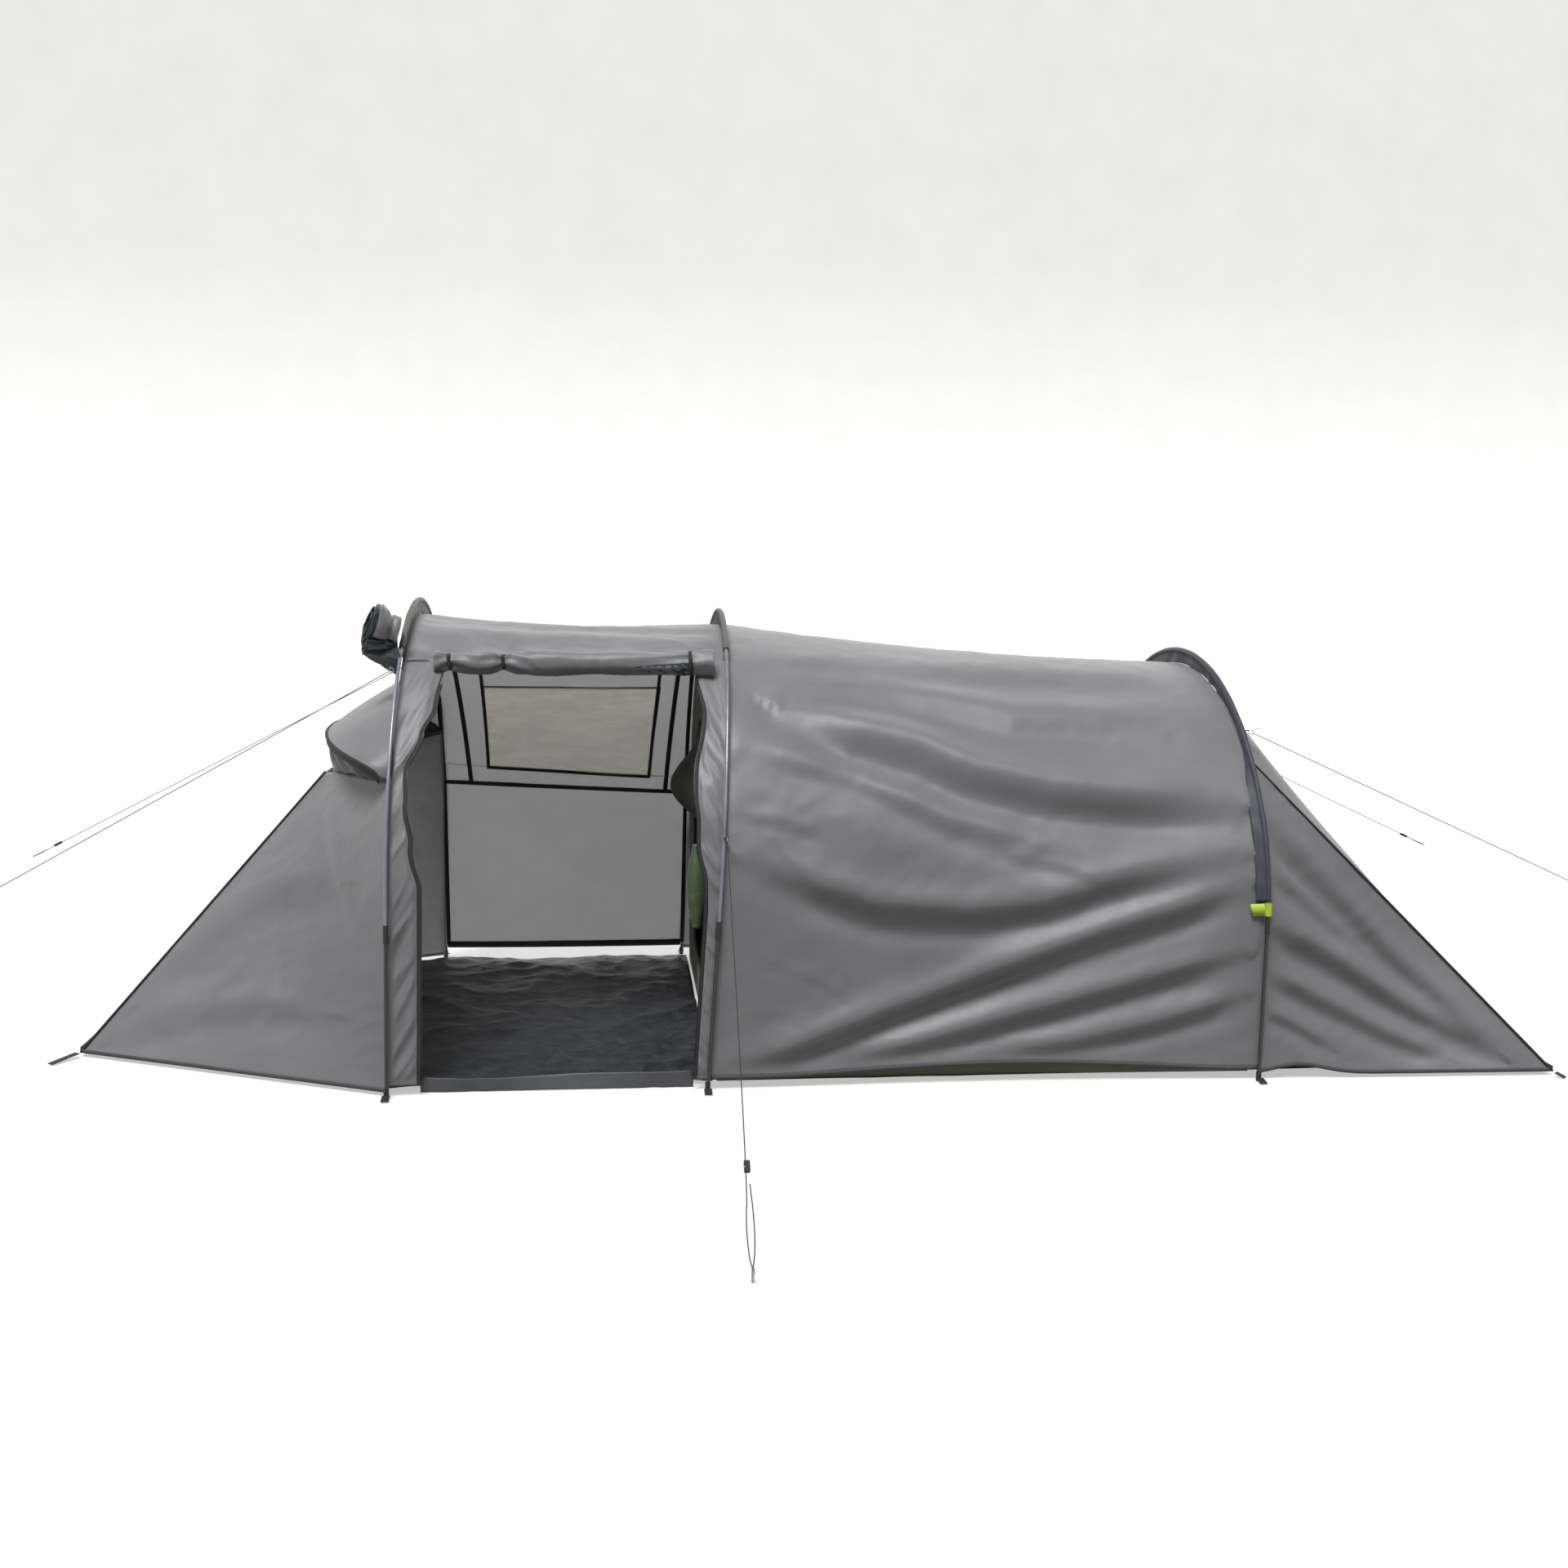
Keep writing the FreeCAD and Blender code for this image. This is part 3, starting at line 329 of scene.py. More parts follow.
class Arch:
    """A hoop line of the frame: straight legs, two shoulder bends and a wide crown bend."""

    def __init__(self, x, half, crown, lean, leg, shoulder=0.720):
        self.x, self.half, self.crown, self.lean, self.leg = x, half, crown, lean, leg
        self.shoulder = shoulder
        rise, inset = crown - leg, half - shoulder
        self.top = (inset ** 2 + rise ** 2 - shoulder ** 2) / (2 * (rise - shoulder))
        self.turn = math.atan2(self.top - rise, inset)
        self.bend = shoulder * self.turn
        self.cap = self.top * (math.pi / 2 - self.turn)
        self.reach = leg + self.bend + self.cap

    def inset(self, side, crown):
        return Arch(self.x, self.half - side, self.crown - crown, self.lean, self.leg)

    def along(self, t):
        """The point a share t of the way from the near foot over the crown to the far foot."""
        side = NEAR if t <= 0.5 else FAR
        s = self.reach * (1 - abs(1 - 2 * t))
        if s <= self.leg:
            y, z = self.half, s
        elif s <= self.leg + self.bend:
            a = (s - self.leg) / self.shoulder
            y = self.half - self.shoulder + self.shoulder * math.cos(a)
            z = self.leg + self.shoulder * math.sin(a)
        else:
            a = self.turn + (s - self.leg - self.bend) / self.top
            y = self.top * math.cos(a)
            z = self.crown - self.top + self.top * math.sin(a)
        return Vector((self.x + self.lean * z / self.crown, side * y, z))

    def share(self, z):
        """How far along the line (0 to 0.5) its near side reaches height z."""
        if z <= self.leg:
            return z / self.reach / 2
        if z <= self.leg + self.shoulder * math.sin(self.turn):
            return (self.leg + self.shoulder * math.asin((z - self.leg) / self.shoulder)) / self.reach / 2
        a = math.asin(min((z - self.crown + self.top) / self.top, 1.0))
        return (self.leg + self.bend + self.top * (a - self.turn)) / self.reach / 2

    def at(self, z, side):
        point = self.along(self.share(z))
        return Vector((point.x, -point.y * side, point.z)) if side == FAR else point


HOOPS = {1: Arch(-1.385, 0.950, 1.556, 0.020, 0.640), 2: Arch(-0.365, 0.950, 1.528, 0.090, 0.625),
         3: Arch(1.485, 0.965, 1.398, 0.010, 0.530)}
FLIES = {n: line.inset(0.018, 0.050) for n, line in HOOPS.items()}
DOOR_FRONT, DOOR_REAR = -1.292, -0.402
PORCH = 1.020
FRONT_JAMB = ((0.03, 0.093), (0.58, 0.093), (0.66, 0.092), (0.80, 0.062), (0.93, 0.044), (1.03, 0.040),
              (1.14, 0.080), (1.22, 0.110), (1.36, 0.130))
REAR_JAMB = ((0.03, 0.037), (0.58, 0.037), (0.66, 0.040), (0.80, 0.070), (1.00, 0.088),
             (1.20, 0.064), (1.36, 0.104))


def table(rows, z):
    """Smoothly interpolated value of a table of (height, value) rows."""
    for (z0, a), (z1, b) in zip(rows, rows[1:]):
        if z <= z1:
            return a + (b - a) * smooth((z - z0) / (z1 - z0))
    return rows[-1][1]


def mix(a, b, t):
    return a + (b - a) * t


def door_line(x):
    """The fly line through the porch that starts at x on the ground."""
    return between(FLIES[1], FLIES[2], (x + 1.385) / PORCH)


def smooth(x):
    x = min(max(x, 0.0), 1.0)
    return x * x * (3 - 2 * x)


def jamb_line(name, z, reach=1.0, inward=0.0):
    """A point of a door jamb at height z, from its hoop (0) to its free edge (1), where the zip runs."""
    front = name == "front"
    ragged = 0.004 * wrinkle(Vector((0, z * 4, 1.0 if front else 0.0)), 3.0) * smooth((z - 0.60) / 0.1)
    wide = (table(FRONT_JAMB if front else REAR_JAMB, z) + ragged) * reach + inward
    return between(FLIES[1], FLIES[2], wide / PORCH if front else 1 - wide / PORCH).at(z, NEAR)


def between(first, second, u, sag=0.026):
    """The fly's line a share u of the way between two hoops."""
    dip = sag * 4 * u * (1 - u)
    return Arch(mix(first.x, second.x, u), mix(first.half, second.half, u) - dip / 2,
                mix(first.crown, second.crown, u) - dip, mix(first.lean, second.lean, u),
                mix(first.leg, second.leg, u))


def front_seam(t, side):
    """The black piped seam from a front corner up to the hood."""
    return Vector((mix(FRONT_X, SEAM_X, t), side * mix(FRONT_HALF, SEAM_HALF, t), mix(CORNER, SEAM_TOP, t)))


def tail_seam(t, side):
    """The seam from a tail corner up to the rear hoop."""
    top = FLIES[3].at(TAIL_SEAM, side)
    foot = Vector((TAIL_X, side * TAIL_HALF, CORNER))
    return foot + (top - foot) * t


def hood_root(s):
    """The rear edge of the hood, sewn to the front arch at both ends and free under the open gable."""
    line, swing = FLIES[1], math.sin(math.pi * s)
    z = mix(HOOD_SIDE + 0.0015, HOOD_ROOT, swing)
    half = line.at(HOOD_SIDE, FAR).y
    return Vector((line.x + line.lean * z / line.crown - 0.003, -math.cos(math.pi * s) * half, z))


def hood_rim(s):
    """The free edge of the hood from its near end (0) over the middle to its far end (1)."""
    end = FLIES[1].at(HOOD_SIDE, NEAR)
    swing = math.sin(math.pi * s)
    x = mix(end.x - 0.030, HOOD_RIM_X, swing ** 1.1)
    return Vector((x, -math.cos(math.pi * s) * (abs(end.y) + 0.002), mix(1.008, HOOD_RIM_Z, swing ** 0.6)))


def vent_foot(s):
    """The line where the gathered mesh meets the tops of the front panels."""
    rim, near_top = hood_rim(s), FLIES[1].at(HOOD_SIDE, NEAR)
    reach = min(max((abs(rim.y) - SEAM_HALF) / (abs(near_top.y) - SEAM_HALF), 0.0), 1.0)
    z = mix(SEAM_TOP, HOOD_SIDE, reach) + 0.0015
    return Vector((mix(SEAM_X, near_top.x - 0.024, reach), rim.y * 0.985, z))


# ------------------------------------------------------------ mesh helpers

def finish(name, mesh, material, nodes=(), body="tent"):
    """Make the object of a mesh, give it its finish and put it on its body."""
    piece = bpy.data.objects.new(name, mesh)
    bpy.context.scene.collection.objects.link(piece)
    mesh.materials.append(MATERIALS[material])
    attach(piece, body)
    if nodes:
        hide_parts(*nodes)
    return piece


def grid_mesh(name, columns, rows, place, lift=None, spans=None):
    """A smooth grid laid on a surface, its UV map in metres, pushed out along its normals."""
    bm = bmesh.new()
    bmesh.ops.create_grid(bm, x_segments=columns, y_segments=rows, size=0.5)
    bm.verts.ensure_lookup_table()
    where = {}
    for vert in bm.verts:
        u, w = vert.co.x + 0.5, vert.co.y + 0.5
        where[vert.index] = (u, w)
        vert.co = place(u, w)
    flat_area = sum(face.calc_area() for face in bm.faces)
    if spans is None:
        wide = (place(1, 0.5) - place(0, 0.5)).length
        path = [place(0.5, i / 24) for i in range(25)]
        spans = (wide, sum((b - a).length for a, b in zip(path, path[1:])))
    uv = bm.loops.layers.uv.new("cloth")
    for face in bm.faces:
        face.smooth = True
        for loop in face.loops:
            u, w = where[loop.vert.index]
            loop[uv].uv = (u * spans[0], w * spans[1])
    if lift:
        bm.normal_update()
        moves = [vert.normal * lift(*where[vert.index], vert.co) for vert in bm.verts]
        for vert, move in zip(bm.verts, moves):
            vert.co += move
    mesh = bpy.data.meshes.new(name)
    bm.to_mesh(mesh)
    bm.free()
    return mesh, spans, flat_area


def thicken(piece, thickness, offset=-1.0):
    wall = piece.modifiers.new("Fabric", "SOLIDIFY")
    wall.thickness = thickness
    wall.offset = offset
    wall.use_even_offset = False


def cloth(name, columns, rows, place, material="fly", nodes=(), lift=None,
          thickness=None):
    """One cloth panel: grid, finish, thickness and its flat size."""
    mesh, spans, area = grid_mesh(name, columns, rows, place, lift)
    piece = finish(name, mesh, material, nodes)
    thicken(piece, thickness or bpy.context.scene.tent_sizes.fabric)
    declare_sheet(spans, area)


def declare_sheet(spans, area):
    """Work out a panel's flat size, the length along its second way and the width that holds its area; the
    result is not kept.
    """
    long = round(spans[1], 3)
    wide = math.ceil(max(spans[0], area / long) * 1000 + 0.5) / 1000


def tube(name, points, radius, material, nodes=()):
    """A thin round line through points: piping, binding, a tie or a guyline."""
    curve = bpy.data.curves.new(name, "CURVE")
    curve.dimensions = "3D"
    spline = curve.splines.new("NURBS")
    spline.points.add(len(points) - 1)
    for target, point in zip(spline.points, points):
        target.co = (*point, 1.0)
    spline.order_u = 3
    spline.use_endpoint_u = True
    spline.resolution_u = 4
    curve.bevel_depth = radius
    curve.bevel_resolution = 3
    curve.use_fill_caps = True
    piece = bpy.data.objects.new(name, curve)
    bpy.context.scene.collection.objects.link(piece)
    curve.materials.append(MATERIALS[material])
    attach(piece, "tent")
    if nodes:
        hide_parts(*nodes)
    return piece


def ribbon(name, path, width, material="webbing", columns=60, thickness=0.0016, lean=None):
    """A flat tape along a path given as a function of 0..1, its width set by a direction function."""
    def place(u, w):
        point = path(u)
        across = lean(u) if lean else Vector((0, 0, 1))
        return point + across * width * (w - 0.5)
    mesh = grid_mesh(name, columns, 2, place)[0]
    piece = finish(name, mesh, material)
    thicken(piece, thickness, 0.0)
    return piece


def wrinkle(co, scale, seed=0.0):
    """Soft noise between about -1 and 1."""
    return noise.noise(Vector((co.x, co.y, co.z)) * scale + SEED * (1 + seed))


def ridged(co, scale, seed=0.0):
    """Sharp-crested noise, as in creased cloth."""
    return 1.0 - 2.4 * abs(wrinkle(co, scale, seed))


def fold_height(x, z, folds):
    """Sum of long folds: each is a line of (x, z) points with a width and a depth."""
    total = 0.0
    for points, width, depth in folds:
        best, share, signed = 1e9, 0.0, 0.0
        count = len(points) - 1
        for i in range(count):
            (ax, az), (bx, bz) = points[i], points[i + 1]
            dx, dz = bx - ax, bz - az
            length = math.hypot(dx, dz)
            t = ((x - ax) * dx + (z - az) * dz) / length ** 2
            t = min(max(t, 0.0), 1.0)
            gap = math.hypot(x - ax - dx * t, z - az - dz * t)
            if gap < best:
                best, share = gap, (i + t) / count
                signed = ((z - az) * dx - (x - ax) * dz) / length
        if best > width * 5:
            continue
        taper = smooth(share / 0.22) * smooth((1 - share) / 0.16) if share not in (0.0, 1.0) else 0.0
        spread = math.copysign(best, signed) / width
        strength = 0.25 + 0.75 * taper if 0 < share < 1 else 0.25
        total += depth * strength * spread * math.exp(-spread ** 2 / 2)
    return total


# ------------------------------------------------------------ pieces

def edge_ease(u, w, rim=0.035):
    """Zero along the sewn edges of a panel, one inside it."""
    return smooth(min(u, 1 - u) / rim) * smooth(min(w, 1 - w) / rim)


SLEEPING_FOLDS = (
    ([(-0.096, 1.210), (0.112, 1.118), (0.340, 1.065), (0.513, 0.992), (0.770, 0.933), (1.030, 0.907),
      (1.416, 0.900)], 0.050, 0.052),
    ([(-0.236, 0.736), (-0.011, 0.647), (0.177, 0.581), (0.496, 0.559), (0.755, 0.590), (0.946, 0.650),
      (1.396, 0.738)], 0.046, 0.036),
    ([(-0.300, 0.040), (-0.100, 0.105), (0.225, 0.234), (0.568, 0.358), (0.888, 0.471), (1.210, 0.573),
      (1.430, 0.650)], 0.042, 0.038),
    ([(-0.066, 0.045), (0.380, 0.140), (0.701, 0.227), (1.024, 0.314), (1.415, 0.423)], 0.034, 0.030),
    ([(0.576, 0.084), (0.835, 0.119), (1.160, 0.193), (1.422, 0.272)], 0.030, 0.024),
    ([(-0.277, 1.090), (0.126, 0.994), (0.437, 0.851), (0.691, 0.788)], 0.036, 0.019),
    ([(-0.251, 1.362), (0.327, 1.324), (1.400, 1.284)], 0.028, 0.013),
    ([(-0.259, 1.301), (0.300, 1.251), (0.688, 1.168), (1.231, 1.145)], 0.038, 0.024),
    ([(0.560, 0.770), (0.689, 0.739), (0.823, 0.707), (0.946, 0.664)], 0.016, 0.0065),
    ([(-0.266, 0.889), (-0.120, 0.862), (-0.009, 0.829)], 0.016, 0.0065),
    ([(-0.190, 0.850), (-0.149, 0.794), (-0.024, 0.658)], 0.014, 0.004),
    ([(-0.223, 0.435), (-0.020, 0.353), (0.121, 0.275)], 0.013, 0.0035),
    ([(-0.211, 0.254), (-0.100, 0.232), (-0.036, 0.195)], 0.012, 0.003),
    ([(-0.180, 1.210), (-0.153, 1.206), (0.013, 1.190)], 0.012, 0.0035),
    ([(0.640, 0.655), (0.760, 0.640), (0.900, 0.600)], 0.012, 0.0025),
)
TAIL_FOLDS = (
    ([(1.500, 0.860), (1.720, 0.640), (2.000, 0.360), (2.330, 0.080)], 0.034, 0.026),
    ([(1.500, 0.520), (1.720, 0.400), (2.000, 0.230), (2.330, 0.060)], 0.036, 0.032),
    ([(1.500, 0.360), (1.700, 0.250), (1.950, 0.130), (2.150, 0.060)], 0.030, 0.022),
    ([(1.500, 0.700), (1.640, 0.600), (1.860, 0.420)], 0.024, 0.013),
    ([(1.500, 0.230), (1.620, 0.170), (1.740, 0.100)], 0.022, 0.012),
)
FRONT_FOLDS = (
    ([(-2.350, 0.060), (-2.100, 0.160), (-1.850, 0.210), (-1.600, 0.230)], 0.042, 0.012),
    ([(-2.250, 0.200), (-2.000, 0.420), (-1.800, 0.560), (-1.560, 0.640)], 0.050, 0.015),
    ([(-1.990, 0.240), (-1.900, 0.330), (-1.850, 0.440)], 0.022, 0.004),
    ([(-1.780, 0.130), (-1.770, 0.300), (-1.780, 0.420)], 0.020, 0.004),
    ([(-1.640, 0.880), (-1.580, 0.700), (-1.500, 0.500)], 0.024, 0.005),
)


def panel_lift(folds, ease, noise_scale=1.0, seed=0.0):
    """Push-out of a panel: its long folds, a slow swell and fine creases, eased off at the seams."""
    sizes = bpy.context.scene.tent_sizes

    def lift(u, w, co):
        rim = ease(u, w)
        deep = fold_height(co.x, co.z, folds) * sizes.fold_depth if folds else 0.0
        swell = 0.0045 * wrinkle(Vector((co.x * 0.7, co.y, co.z + co.x * 0.4)), 3.4, seed) * noise_scale
        slant = Vector((co.x * 0.8, co.y, co.z * 1.8 - co.x * 0.7))
        fine = sizes.crumple * (0.55 * ridged(slant, 7, seed) + 0.35 * wrinkle(slant, 19, seed))
        return (deep + swell) * rim + fine * (0.35 + 0.65 * rim)
    return lift


def hoop_surface(first, second, bottom, top, u0=0.0, u1=1.0, sag=0.026):
    """Surface between two fly lines from one share of the line to another."""
    def place(u, w):
        line = between(first, second, mix(u0, u1, u), sag)
        a, b = bottom(line, u), top(line, u)
        return line.along(mix(a, b, w))
    return place


def hem_share(u, mid=0.030):
    return HEM + mid * math.sin(math.pi * min(max((u - 0.12) / 0.84, 0), 1)) ** 1.3


def build_sleeping_fly():
    """The long sleeping fly between the middle and the rear hoop."""
    place = hoop_surface(FLIES[2], FLIES[3], lambda a, u: a.share(hem_share(u)),
                         lambda a, u: 1 - a.share(hem_share(1 - u)))
    ease = lambda u, w: edge_ease(u, w, 0.022)
    near = panel_lift(SLEEPING_FOLDS, ease)
    cloth("sleeping_fly", 168, 206, place, nodes=("fly_sleeping",), lift=near)
    # the dark bands along this fly's hems are painted shade at the hem
    for name, w in (("near", 0.0), ("far", 1.0)):
        binding("sleeping_hem_" + name, lambda u, w=w: place(u, w), NEAR if w == 0 else FAR)


def binding(name, path, side):
    """Dark binding tape folded over a bottom edge; along the sleeping fly its dark band is painted shade at
    the hem.
    """
    width = bpy.context.scene.tent_sizes.hem_width
    ribbon(name, lambda u: path(u) + Vector((0, side * 0.0018, width * 0.42)), width, "hem", columns=110,
           lean=lambda u: Vector((0, 0, 1)))


def build_porch():
    """Porch roof, door jambs and the far wall with its window."""
    first, second = FLIES[1], FLIES[2]
    roof = hoop_surface(first, second, lambda a, u: a.share(DOOR_TOP), lambda a, u: 1 - a.share(DOOR_TOP))

    pulls = (0.12, 0.32, 0.94)

    def roof_lift(u, w, co):
        rim = edge_ease(u, w, 0.05)
        ribs = 0.006 * math.sin(w * 34 + 3 * wrinkle(co, 1.4)) * smooth(1 - abs(u - 0.5) * 1.1)
        drape = 0.007 * math.exp(-((w - 0.03) / 0.05) ** 2) * math.sin(u * 23 + 2 * wrinkle(co, 3))
        pull = sum(math.exp(-((u - t) / 0.035) ** 2) for t in pulls) * math.exp(-(w / 0.12) ** 2)
        return ((ribs * 0.8 + 0.004 * wrinkle(co, 5)) * rim + drape + 0.0022 * ridged(co, 12) * rim
                - 0.016 * pull * smooth(w / 0.02))
    cloth("porch_roof", 90, 90, roof, nodes=("fly_porch_roof",), lift=roof_lift)
    for name, node in (("front", "fly_jamb_front_near"), ("rear", "fly_jamb_rear_near")):
        build_jamb(name, node)
    build_far_wall(first, second)


def build_jamb(name, node):
    """A strip of cloth beside the doorway, its free edge scalloped and bound in black."""
    front = name == "front"

    def place(u, w):
        return jamb_line(name, mix(HEM, DOOR_TOP + 0.006, w), u if front else 1 - u)

    def lift(u, w, co):
        edge = u if front else 1 - u
        slant = Vector((co.x * 3, 0, co.z * 4.5 - co.x * (7 if front else -7)))
        gather = 0.0085 * ridged(slant, 2.6) + 0.003 * wrinkle(slant, 7)
        sides = smooth(edge / 0.35) * smooth((1 - edge) / 0.2)
        return gather * sides * smooth((1 - w) / 0.05) * smooth(w / 0.04)
    cloth("porch_jamb_" + name, 22, 190, place, nodes=(node,), lift=lift)
    tube("jamb_binding_" + name, [jamb_line(name, mix(HEM, DOOR_TOP, i / 60)) + Vector((0, 0.005, 0))
                                  for i in range(61)], 0.0032, "webbing")


WINDOW = (-1.190, -0.475, 0.838, 1.190)
SKEW = 0.043


def build_far_wall(first, second):
    """The closed far door: cloth, window, black tapes and the side strips."""
    x0, x1, z0, z1 = WINDOW

    def on_wall(x, z, out=0.0):
        """The point of the far wall at x and height z, moved outwards."""
        u = min(max((x + 1.385 - 0.03) / 1.05, 0.0), 1.0)
        line = between(first, second, u)
        point = line.along(1 - line.share(z))
        point.x = x
        return point + Vector((0, out, out * 0.3))
    lift = panel_lift((([(-1.30, 0.60), (-0.95, 0.42), (-0.60, 0.20)], 0.05, -0.006),
                       ([(-1.25, 0.30), (-0.90, 0.50), (-0.50, 0.62)], 0.05, -0.006)), edge_ease)

    def sill(x):
        return z0 - SKEW * (x - x0) / (x1 - x0)

    def side(z):
        return x1 - 0.035 * (z1 - z) / (z1 - z0)
    parts = (("porch_wall_low", "low"), ("porch_wall_front", "front"), ("porch_wall_rear", "rear"),
             ("porch_wall_top", "top"))
    for name, kind in parts:
        def place(u, w, kind=kind):
            top = z1 if kind == "top" else DOOR_TOP
            left = {"low": -1.385, "front": -1.385, "rear": side(mix(top, z0, w)), "top": x0}[kind]
            right = {"low": -0.365, "front": x0, "rear": -0.365, "top": side(mix(DOOR_TOP, z1, w))}[kind]
            x = mix(left, right, u)
            z = {"low": mix(sill(x), HEM + 0.02, w), "top": mix(DOOR_TOP, z1, w)}.get(
                kind, mix(DOOR_TOP, sill(x), w))
            if left == -1.385:
                x += 0.020 * z / 1.5 * (1 - u)
            if right == -0.365:
                x += 0.090 * z / 1.5 * u
            return on_wall(x, z)
        nodes = ("fly_porch_wall_far",) if kind == "low" else ()
        cloth(name, 50, 50, place, material="fly_inner", nodes=nodes, lift=lift if kind == "low" else None)

    def glass(u, w):
        z = mix(z1 + 0.008, sill(mix(x0, x1, u)) - 0.008, w)
        return on_wall(mix(x0 - 0.008, side(z) + 0.008, u), z, -0.002)
    cloth("window_film", 40, 40, glass, material="film", nodes=("porch_window_film",),
          lift=lambda u, w, co: 0.003 * wrinkle(co, 3.5), thickness=0.0005)
    low = z0 - SKEW
    tapes = (((x0, z0), (x0 - 0.012, DOOR_TOP), 0.013), ((x1 - 0.035, low), (x1 + 0.010, DOOR_TOP), 0.013),
             ((x0, z0), (x1 - 0.030, low), 0.013), ((x0 - 0.075, z0 - 0.072), (x0 - 0.120, DOOR_TOP), 0.018),
             ((x1 + 0.035, low - 0.062), (x1 + 0.085, DOOR_TOP), 0.018),
             ((x0 - 0.190, z0 - 0.066), (x1 + 0.120, low - 0.070), 0.016),
             ((x0 - 0.180, 0.06), (x0 - 0.195, DOOR_TOP), 0.016),
             ((x1 + 0.112, 0.06), (x1 + 0.135, DOOR_TOP), 0.016),
             ((-1.375, HEM + 0.026), (-0.370, HEM + 0.026), 0.026))
    for i, (a, b, width) in enumerate(tapes):
        level = abs(a[0] - b[0]) > abs(a[1] - b[1])
        for face, out in (("inner", -0.0035), ("outer", 0.0030)):
            path = lambda u, a=a, b=b, out=out: on_wall(mix(a[0], b[0], u), mix(a[1], b[1], u), out)
            lean = (lambda u: Vector((0, 0, 1))) if level else (lambda u: Vector((1, 0, 0)))
            ribbon("wall_tape_%s_%d" % (face, i), path, width, columns=30, lean=lean, thickness=0.001)


def build_front():
    """The front wedge with its hood and the mesh vent under it."""
    for name, side in (("near", NEAR), ("far", FAR)):
        def place(u, w, side=side):
            t = w if side == NEAR else 1 - w
            root, tip = FLIES[1].at(mix(CORNER, HOOD_SIDE, t), side), front_seam(t, side)
            point = mix(tip, root, u)
            slack = 0.020 * math.sin(math.pi * t) * math.sin(math.pi * u)
            return point - Vector((0, side, 0)) * slack * 0.6
        lift = panel_lift(FRONT_FOLDS, edge_ease, 0.8, 0.4 if side == FAR else 0.0)
        cloth("front_side_" + name, 100, 100, place, nodes=("fly_front_side_" + name,), lift=lift)
        bottom = 0.0 if side == NEAR else 1.0
        binding("front_hem_" + name, lambda u, p=place, b=bottom: p(u, b), side)
        tube("front_piping_" + name, [front_seam(i / 20, side) + Vector((-0.002, side * 0.003, 0.001))
                                      for i in range(21)], 0.0042, "webbing")

    def end(u, w):
        return mix(front_seam(w, FAR), front_seam(w, NEAR), u)
    cloth("front_end", 50, 70, end, nodes=("fly_front_end",),
          lift=panel_lift((), edge_ease, 1.4, 0.7))
    ribbon("front_end_hem", lambda u: end(u, 0) + Vector((-0.002, 0, 0.008)), 0.020, columns=20)
    build_hood()


def build_hood():
    """The hood over the front vent, bound in black, and the gathered mesh under it."""
    def place(u, w):
        s = 1 - u
        point = mix(hood_rim(s), hood_root(s), w)
        return point + Vector((0, 0, 0.010 * math.sin(math.pi * w) * math.sin(math.pi * s)))

    def lift(u, w, co):
        return (0.006 * math.sin(u * 29 + 4 * wrinkle(co, 2)) * w * (1 - w) * 3
                + 0.0012 * wrinkle(co, 20)) * smooth(min(u, 1 - u) / 0.04)
    cloth("vent_hood_cloth", 110, 36, place, nodes=("vent_hood",), lift=lift)
    rim = [hood_rim(i / 48) + Vector((-0.001, 0, 0)) for i in range(49)]
    tube("hood_binding", rim, 0.0055, "webbing")
    ribbon("hood_rim_tape", lambda u: hood_rim(u) + Vector((-0.0015, 0, -0.010)), 0.022, columns=70)
    tube("hood_root_binding", [hood_root(i / 48) for i in range(49)], 0.0035, "webbing")

    def veil(u, w):
        s = 1 - u
        foot = vent_foot(s) + Vector((0.012, 0, -0.022))
        return mix(foot, hood_rim(s) - Vector((0, 0, 0.003)), w)

    def gather(u, w, co):
        return -0.010 + 0.011 * math.sin(u * 96 + 6 * wrinkle(co, 5)) * math.sin(math.pi * w) * smooth(
            min(u, 1 - u) / 0.06)
    # the gathered vent mesh under the hood is drawn in the near-black painted-shade cloth
    cloth("vent_mesh_gathers", 200, 16, veil, material="lining", nodes=("vent_mesh",), lift=gather)


def build_tail():
    """The tail wedge."""
    for name, side in (("near", NEAR), ("far", FAR)):
        def place(u, w, side=side):
            t = w if side == NEAR else 1 - w
            tip = tail_seam(t * 0.985, side)
            root = FLIES[3].at(tip.z, side)
            point = mix(root, tip, u)
            arch = 0.030 * math.exp(-((u - 0.14) / 0.12) ** 2) * (1 - t) ** 8
            slack = 0.030 * math.sin(math.pi * min(t * 1.2, 1)) * math.sin(math.pi * u)
            return point + Vector((0, -side * slack, arch))
        seed = 0.9 if side == FAR else 0.0
        lift = panel_lift(TAIL_FOLDS, lambda u, w: edge_ease(u, w, 0.05), 1.0, seed)
        cloth("tail_side_" + name, 110, 110, place, nodes=("fly_tail_side_" + name,), lift=lift)
        bottom = 0.0 if side == NEAR else 1.0
        binding("tail_hem_" + name, lambda u, p=place, b=bottom: p(u, b), side)
        tube("tail_piping_" + name, [tail_seam(i / 24, side) + Vector((0.001, side * 0.003, 0.001))
                                     for i in range(25)], 0.0040, "webbing")
    a = FLIES[3].share(TAIL_SEAM)

    def end(u, w):
        root = FLIES[3].along(mix(a, 1 - a, u))
        foot = mix(tail_seam(0, NEAR), tail_seam(0, FAR), u)
        return mix(foot, root, w)

    def lift(u, w, co):
        waves = 0.006 * math.sin(u * 24 + 3 * wrinkle(co, 1.5)) * w
        return (waves + 0.006 * wrinkle(co, 3)) * edge_ease(u, w, 0.05)
    cloth("tail_end", 90, 90, end, nodes=("fly_tail_end",), lift=lift)
    ribbon("tail_end_hem", lambda u: end(u, 0) + Vector((0.002, 0, 0.008)), 0.020, columns=30)


